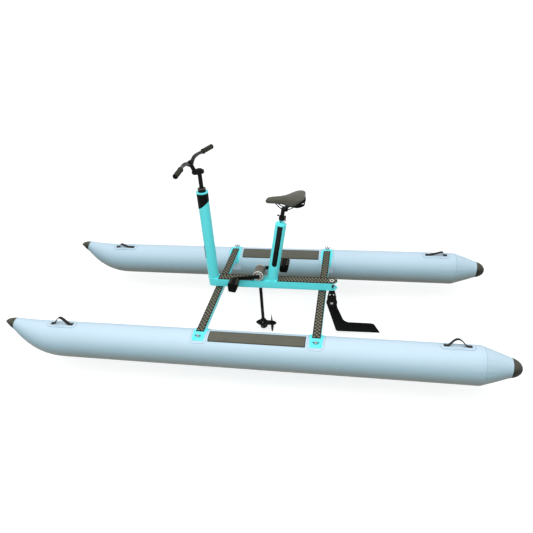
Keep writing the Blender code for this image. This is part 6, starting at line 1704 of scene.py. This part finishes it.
def pedal_parts(outboard, pitch):
    """A block pedal that hangs below its axle: its moulded frame, two ribbed treads and the clips that hold them."""
    axle_y = outboard * (CRANK_OUTER + 0.046)
    place = CRANKS @ shift(outboard * CRANK_LENGTH, 0, 0) @ spin(pitch - CRANK_DIP, "Y") @ shift(0, axle_y, 0)
    low = -0.057
    right = [(0.0215, low + 0.0006), (0.0275, low + 0.0075), (0.0358, 0.005), (0.0285, 0.0125)]
    groove = rectangle(0.034, 0.0018, (0, -0.027))
    body = []
    for side in (1, -1):
        cheek = place @ shift(0, side * 0.0395, 0) @ UPRIGHT
        cheek = plate(right + mirrored(right), 0.008, cheek, edge=0.0018, segments=3)
        body.append(carved(cheek, plate(groove, 0.003, place @ shift(0, side * 0.044, 0) @ UPRIGHT)))
    body.append(rod(0.012, -0.038, 0.038, place @ UPRIGHT, 0.0015, 32))
    body.append(plate(circle(0.0078, sides=6), 0.0024, place @ shift(0, outboard * 0.0428, 0) @ UPRIGHT, edge=0.0005))
    block = [(0.011, low + 0.001), (0.0262, low + 0.001), (0.0342, 0.011), (0.013, 0.011)]
    treads, clips = [], []
    for end in (1, -1):
        body.append(box((0.008, 0.074, 0.056), (end * 0.009, 0, -0.021), 0.002, 2, place))
        outline = [(end * x, z) for x, z in block][::end]
        treads.append(plate(outline, 0.072, place @ UPRIGHT, edge=0.005, segments=4))
        for x in (0.0165, 0.023, 0.0295):
            treads.append(box((0.0036, 0.066, 0.0044), (end * x, 0, 0.0112), 0.0012, 2, place))
        for x in (0.0135, 0.0185, 0.0235):
            treads.append(box((0.0036, 0.066, 0.0036), (end * x, 0, low + 0.0016), 0.0012, 2, place))
        for z in (-0.002, -0.015, -0.028, -0.041):
            out = 0.0264 + 0.0075 * (z - low) / -low
            treads.append(box((0.0048, 0.066, 0.0042), (end * out, 0, z), 0.001, 2, place))
        clips.append(box((0.011, 0.0056, 0.0072), (end * 0.019, -outboard * 0.04, 0.0098), 0.0012, 2, place))
    return merged(*body), merged(*treads), merged(*clips)


def make_cranks():
    """The crank arms with their axles and washers, and the two pedals."""
    for side, outboard, pitch in (("port", 1, -8.0), ("starboard", -1, -4.0)):
        place = CRANKS @ shift(outboard * CRANK_LENGTH, 0, 0) @ spin(-outboard * 90, "X")
        axle = merged(rod(0.0045, 0.06, 0.1535, place, 0.0006, 20), rod(0.0085, 0.065, 0.0668, place, 0.0004, 32))
        add_piece(f"crank_forging_{side}", crank_arm(outboard), "black_alloy", "cranks", (f"crank_{side}",))
        add_piece(f"pedal_axle_{side}", axle, "bright_steel", "cranks")
        body, treads, clips = pedal_parts(outboard, pitch)
        pedal = f"pedal_{side}"
        add_piece(f"pedal_frame_{side}", body, "black_plastic", pedal, (pedal,))
        add_piece(f"pedal_treads_{side}", treads, "grip_rubber", pedal)
        add_piece(f"pedal_clips_{side}", clips, "grey_alloy", pedal)


def make_leg():
    """The drive leg with its gear pod, seams and screws."""
    place = shift(DRIVE_X, 0, PROPELLER_Z)
    along = place @ spin(90, "Y")
    leg = rod(0.012, PROPELLER_Z, BEAM_HIGH.z + 0.016, shift(DRIVE_X, 0, 0), 0.0006, 40)
    boss = turned([(0, 0.04), *smooth_outline(LEG_BOSS, 4), (0, -0.0482)], place, 48)
    pod = turned([(0, 0.058), *smooth_outline(LEG_POD, 4), (0, -0.0555)], along, 48)
    shape = carved(carved(boss, pod, operation="UNION"), leg, operation="UNION")
    fin = [(0.01, -0.04), (0.002, -0.0475), (-0.022, -0.0475), (-0.032, -0.03), (-0.03, -0.015), (0.01, -0.02)]
    fin = plate(fin, 0.005, place @ UPRIGHT, edge=0.0015)
    clamp = [(0.0121, 0.0), (0.016, 0.0), (0.0168, 0.0012), (0.0168, 0.0075), (0.016, 0.0088), (0.0121, 0.0088)]
    shapes = [shape, fin, turned(clamp, shift(DRIVE_X, 0, BEAM_LOW.z - 0.0092), 40)]
    seam = [(0.0184, -0.0008), (0.02, -0.0008), (0.02, 0.0008), (0.0184, 0.0008)]
    shapes += [turned(lifted(seam, height), along, 40, 0.0002) for height in (-0.034, -0.053)]
    add_piece("drive_leg_casting", merged(*shapes), "black_alloy", "hull", ("drive_leg",), crease=40)
    screws = []
    for side in (1, -1):
        for z in (0.018, -0.026):
            screws.append(cap_screw(*SMALL_SCREW, facing_out(place @ shift(0, 0, z), side, 0.0232)))
    add_piece("drive_leg_screws", merged(*screws), "bright_steel", "hull")
    dress("drive_shaft", "bright_steel")


def foil(chord_half, thickness, sides=9):
    """A rounded blade section, as (along the chord, across it)."""
    upper = []
    for share in spread(0, 1, sides):
        upper.append((chord_half * (1 - 2 * share), thickness * (math.sin(math.pi * share**0.75) * 0.62 + 0.1)))
    return upper + [(x, -y * 0.35) for x, y in reversed(upper)]


def make_propeller():
    """The propeller: a hub with its nose cone and two twisted blades."""
    place = shift(DRIVE_X, 0, PROPELLER_Z)
    start = 0.0563
    cone = smooth_outline(lifted(((0.0165, 0.024), (0.0148, 0.031), (0.01, 0.0395), (0.004, 0.0452)), start), 4)
    profile = [(0, 0.021), (0.0048, 0.021), (0.0048, start), (0.0155, start), (0.0165, start + 0.0012)]
    shapes = [turned([*profile, *cone, (0, start + 0.046)], place @ spin(-90, "Y"), 48)]
    sections = []
    for radius, half in BLADE_CHORDS:
        twist = spin(math.degrees(math.atan2(0.0245, radius)), "Z")
        points = foil(half, 0.0036 * (1 - 0.75 * radius / 0.083))
        sections.append([twist @ Vector((v, u, radius)) for u, v in points])
    for turn in (0, 180):
        shapes.append(placed(lofted(sections), place @ shift(-start - 0.012, 0, 0) @ spin(turn, "X")))
    add_piece("propeller_moulding", merged(*shapes), "black_plastic", "propeller", ("propeller",), crease=40)


# Rudder


def make_rudder():
    """The rudder: its post and windowed head, the bolt, and the kick-up blade."""
    yaw = shift(RUDDER_X, 0, 0)
    pivot = shift(RUDDER_X, 0, RUDDER_PIVOT_Z)
    shaft = [(0, 0.2071), (0.0072, 0.2071), (0.008, 0.2063), (0.008, 0.187), *CABLE_DRUM, (0.008, 0.159),
             (0.008, 0.13), (0, 0.13)]
    socket = [(0, 0.2073), (0.0048, 0.2073), (0.0048, 0.2068), (0, 0.2068)]
    post = merged(turned(shaft, yaw, 40), turned(socket, yaw, 24))
    cheek = circle(0.032, (0, RUDDER_PIVOT_Z), 28, -math.pi - 0.15, 0.15)
    outline = [(0.033, 0.058), (0.015, 0.1378), (-0.015, 0.1378), (-0.033, 0.058)] + cheek
    window = [(0.0085, 0.072), (0.0085, 0.094), (0.014, 0.094), (0.0215, 0.076), (0.019, 0.069)]
    head = plate(outline, 0.022, yaw @ UPRIGHT, (window, mirrored(window)), edge=0.0016)
    head = carved(head, box((0.2, 0.0108, 0.12), (RUDDER_X, 0, -0.0015), 0))
    add_piece("rudder_head", merged(head, post), "black_alloy", "rudder", ("rudder_post",))
    shapes = [rod(0.0039, -0.0115, 0.0115, pivot @ UPRIGHT, 0, 20)]
    for side in (1, -1):
        shapes.append(cap_screw(0.0084, 0.0042, facing_out(pivot, side, 0.0112)))
        shapes.append(rod(0.0105, 0, 0.0009, facing_out(pivot, side, 0.0111), 0.0003))
    add_piece("rudder_bolt_metal", merged(*shapes), "bright_steel", "rudder", ("rudder_bolt",))
    outline = [*circle(0.04, (0, 0), 28, -0.12, math.pi + 0.4), *BLADE_EDGE]
    blade = plate(outline, 0.01, pivot @ UPRIGHT, edge=0.0026, segments=3)
    add_piece("rudder_blade_moulding", blade, "black_plastic", "rudder_blade", ("rudder_blade",), crease=40)


# Stage


def stage_settings():
    """The floor's, light's and camera's settings."""
    return bpy.context.scene.water_bike_stage


def bike_sizes():
    """The sizes that the user set."""
    return bpy.context.scene.water_bike_sizes


def white_when_seen(tree):
    """1 for a ray that the camera, a mirror or a pane sees by, 0 for one that only carries light."""
    path = tree.nodes.new("ShaderNodeLightPath").outputs
    seen = math_node(tree, "MAXIMUM", path["Is Camera Ray"], path["Is Glossy Ray"])
    return math_node(tree, "MAXIMUM", seen, path["Is Transmission Ray"])


def make_floor():
    """A plain pale floor that keeps the bike's soft shadow."""
    half = stage_settings().floor_half
    bm = bmesh.new()
    bmesh.ops.create_grid(bm, x_segments=8, y_segments=8, size=half, matrix=shift(0, 0, CAD_LOW.z - 0.002))
    mesh = bpy.data.meshes.new("floor")
    bm.to_mesh(mesh)
    bm.free()
    material = bpy.data.materials.new("pale floor")
    material.use_nodes = True
    tree = material.node_tree
    shader = tree.nodes["Principled BSDF"]
    shader.inputs["Roughness"].default_value = 0.9
    seen = white_when_seen(tree)
    shade = between(tree, noise(tree, 3.0), 0.0, 1.0, 0.66, 0.7)
    grey = put(tree, "ShaderNodeCombineColor", i0=shade, i1=shade, i2=shade).outputs[0]
    lit = mix_colours(tree, seen, (0.13, 0.13, 0.085), grey)
    tree.links.new(lit, shader.inputs["Base Color"])
    shader.inputs["Emission Color"].default_value = (1, 1, 1, 1)
    tree.links.new(times(tree, seen, 0.6), shader.inputs["Emission Strength"])
    mesh.materials.append(material)
    floor = bpy.data.objects.new("floor", mesh)
    bpy.context.scene.collection.objects.link(floor)


def make_light():
    """An even studio world and one broad soft lamp overhead."""
    settings = stage_settings()
    world = bpy.data.worlds.new("studio")
    bpy.context.scene.world = world
    world.use_nodes = True
    tree = world.node_tree
    background = tree.nodes["Background"]
    seen = white_when_seen(tree)
    tree.links.new(mix_colours(tree, seen, (0.93, 0.98, 1.0), (1.0, 1.0, 1.0)), background.inputs["Color"])
    tree.links.new(between(tree, seen, 0.0, 1.0, settings.ambient, 1.0), background.inputs["Strength"])
    lamp = bpy.data.lights.new("overhead", "AREA")
    lamp.shape = "SQUARE"
    lamp.size = LAMP_SIZE
    lamp.energy = settings.key
    holder = bpy.data.objects.new("overhead", lamp)
    bpy.context.scene.collection.objects.link(holder)
    holder.location = LAMP_PLACE
    holder.rotation_mode = "QUATERNION"
    holder.rotation_quaternion = LAMP_PLACE.to_track_quat("Z", "Y")


def make_camera():
    """The camera at the photograph's viewing angle."""
    settings = stage_settings()
    yaw, pitch, roll = settings.camera_turn
    ahead = Vector((-math.sin(yaw) * math.cos(pitch), math.cos(yaw) * math.cos(pitch), math.sin(pitch)))
    right = Vector((math.cos(yaw), math.sin(yaw), 0))
    up = right.cross(ahead)
    across = math.cos(roll) * right + math.sin(roll) * up
    rise = math.cos(roll) * up - math.sin(roll) * right
    turn = Matrix((across, rise, -ahead)).transposed().to_4x4()
    data = bpy.data.cameras.new("camera")
    data.sensor_width = 36.0
    data.lens = settings.camera_lens
    data.clip_end = 500.0
    camera = bpy.data.objects.new("camera", data)
    bpy.context.scene.collection.objects.link(camera)
    camera.matrix_world = Matrix.Translation(settings.camera_place) @ turn
    bpy.context.scene.camera = camera


# Operators


class WATERBIKE_OT_floats(bpy.types.Operator):
    """Build the two inflated floats with their seams"""

    bl_idname = "water_bike.floats"
    bl_label = "Floats"

    def execute(self, context):
        make_floats()
        return {"FINISHED"}


class WATERBIKE_OT_caps(bpy.types.Operator):
    """Build the rubber caps and the inflation valves"""

    bl_idname = "water_bike.caps"
    bl_label = "Caps and valves"

    def execute(self, context):
        make_caps()
        make_valves()
        return {"FINISHED"}


class WATERBIKE_OT_deck_pads(bpy.types.Operator):
    """Build the foam deck pads"""

    bl_idname = "water_bike.deck_pads"
    bl_label = "Deck pads"

    def execute(self, context):
        make_deck_pads()
        return {"FINISHED"}


class WATERBIKE_OT_handles(bpy.types.Operator):
    """Build the webbing carrying handles"""

    bl_idname = "water_bike.handles"
    bl_label = "Carrying handles"

    def execute(self, context):
        make_handles()
        return {"FINISHED"}


class WATERBIKE_OT_fixings(bpy.types.Operator):
    """Build the stud patches and the wing nuts"""

    bl_idname = "water_bike.fixings"
    bl_label = "Studs and wing nuts"

    def execute(self, context):
        make_stud_patches()
        make_wing_nuts()
        return {"FINISHED"}


class WATERBIKE_OT_crossbars(bpy.types.Operator):
    """Build the crossbars with their saddles and grips"""

    bl_idname = "water_bike.crossbars"
    bl_label = "Crossbars"

    def execute(self, context):
        make_crossbars()
        return {"FINISHED"}


class WATERBIKE_OT_beam(bpy.types.Operator):
    """Build the box beam with its deck grips and bush"""

    bl_idname = "water_bike.beam"
    bl_label = "Main beam"

    def execute(self, context):
        make_beam()
        return {"FINISHED"}


class WATERBIKE_OT_mast(bpy.types.Operator):
    """Build the mast and its bearings"""

    bl_idname = "water_bike.mast"
    bl_label = "Mast"

    def execute(self, context):
        make_mast()
        return {"FINISHED"}


class WATERBIKE_OT_steering(bpy.types.Operator):
    """Build the column, stem, handlebar and hand grips"""

    bl_idname = "water_bike.steering"
    bl_label = "Steering"

    def execute(self, context):
        make_steering()
        make_handlebar()
        return {"FINISHED"}


class WATERBIKE_OT_seat(bpy.types.Operator):
    """Build the seat tube, its clamp, the post and the saddle"""

    bl_idname = "water_bike.seat"
    bl_label = "Seat"

    def execute(self, context):
        make_seat_tube()
        make_seat_clamp()
        make_saddle()
        return {"FINISHED"}


class WATERBIKE_OT_drive(bpy.types.Operator):
    """Build the gear housing, cranks and pedals"""

    bl_idname = "water_bike.drive"
    bl_label = "Pedal drive"

    def execute(self, context):
        make_housing()
        make_cranks()
        return {"FINISHED"}


class WATERBIKE_OT_leg(bpy.types.Operator):
    """Build the drive leg and the propeller"""

    bl_idname = "water_bike.leg"
    bl_label = "Leg and propeller"

    def execute(self, context):
        make_leg()
        make_propeller()
        return {"FINISHED"}


class WATERBIKE_OT_rudder(bpy.types.Operator):
    """Build the rudder head, bolt and blade"""

    bl_idname = "water_bike.rudder"
    bl_label = "Rudder"

    def execute(self, context):
        make_rudder()
        return {"FINISHED"}


class WATERBIKE_OT_stage(bpy.types.Operator):
    """Set up the floor, the light and the camera"""

    bl_idname = "water_bike.stage"
    bl_label = "Stage"

    def execute(self, context):
        context.scene.view_settings.view_transform = "Standard"
        make_floor()
        make_light()
        make_camera()
        return {"FINISHED"}


OPERATORS = (
    WATERBIKE_OT_stage,
    WATERBIKE_OT_floats,
    WATERBIKE_OT_caps,
    WATERBIKE_OT_deck_pads,
    WATERBIKE_OT_handles,
    WATERBIKE_OT_fixings,
    WATERBIKE_OT_crossbars,
    WATERBIKE_OT_beam,
    WATERBIKE_OT_mast,
    WATERBIKE_OT_steering,
    WATERBIKE_OT_seat,
    WATERBIKE_OT_drive,
    WATERBIKE_OT_leg,
    WATERBIKE_OT_rudder,
)


class WATERBIKE_PT_panel(bpy.types.Panel):
    """Lists the settings and the steps"""

    bl_idname = "WATERBIKE_PT_panel"
    bl_label = "Water Bike"
    bl_space_type = "VIEW_3D"
    bl_region_type = "UI"
    bl_category = "Water Bike"

    def draw(self, context):
        scene = context.scene
        for settings in (scene.water_bike_colours, scene.water_bike_sizes, scene.water_bike_stage):
            box_layout = self.layout.box()
            for name in settings.__annotations__:
                box_layout.prop(settings, name)
        for operator in OPERATORS:
            self.layout.operator(operator.bl_idname)


CLASSES = (BikeColours, BikeSizes, StageSettings, *OPERATORS, WATERBIKE_PT_panel)


def register():
    """Register the classes and hang the settings on the scene."""
    for item in CLASSES:
        bpy.utils.register_class(item)
    bpy.types.Scene.water_bike_colours = PointerProperty(type=BikeColours)
    bpy.types.Scene.water_bike_sizes = PointerProperty(type=BikeSizes)
    bpy.types.Scene.water_bike_stage = PointerProperty(type=StageSettings)


def unregister():
    """Take the settings and the classes away again."""
    del bpy.types.Scene.water_bike_colours
    del bpy.types.Scene.water_bike_sizes
    del bpy.types.Scene.water_bike_stage
    for item in reversed(CLASSES):
        bpy.utils.unregister_class(item)


def main():
    """Build everything."""
    register()
    for operator in OPERATORS:
        family, name = operator.bl_idname.split(".")
        getattr(getattr(bpy.ops, family), name)()


if __name__ == "__main__":
    main()
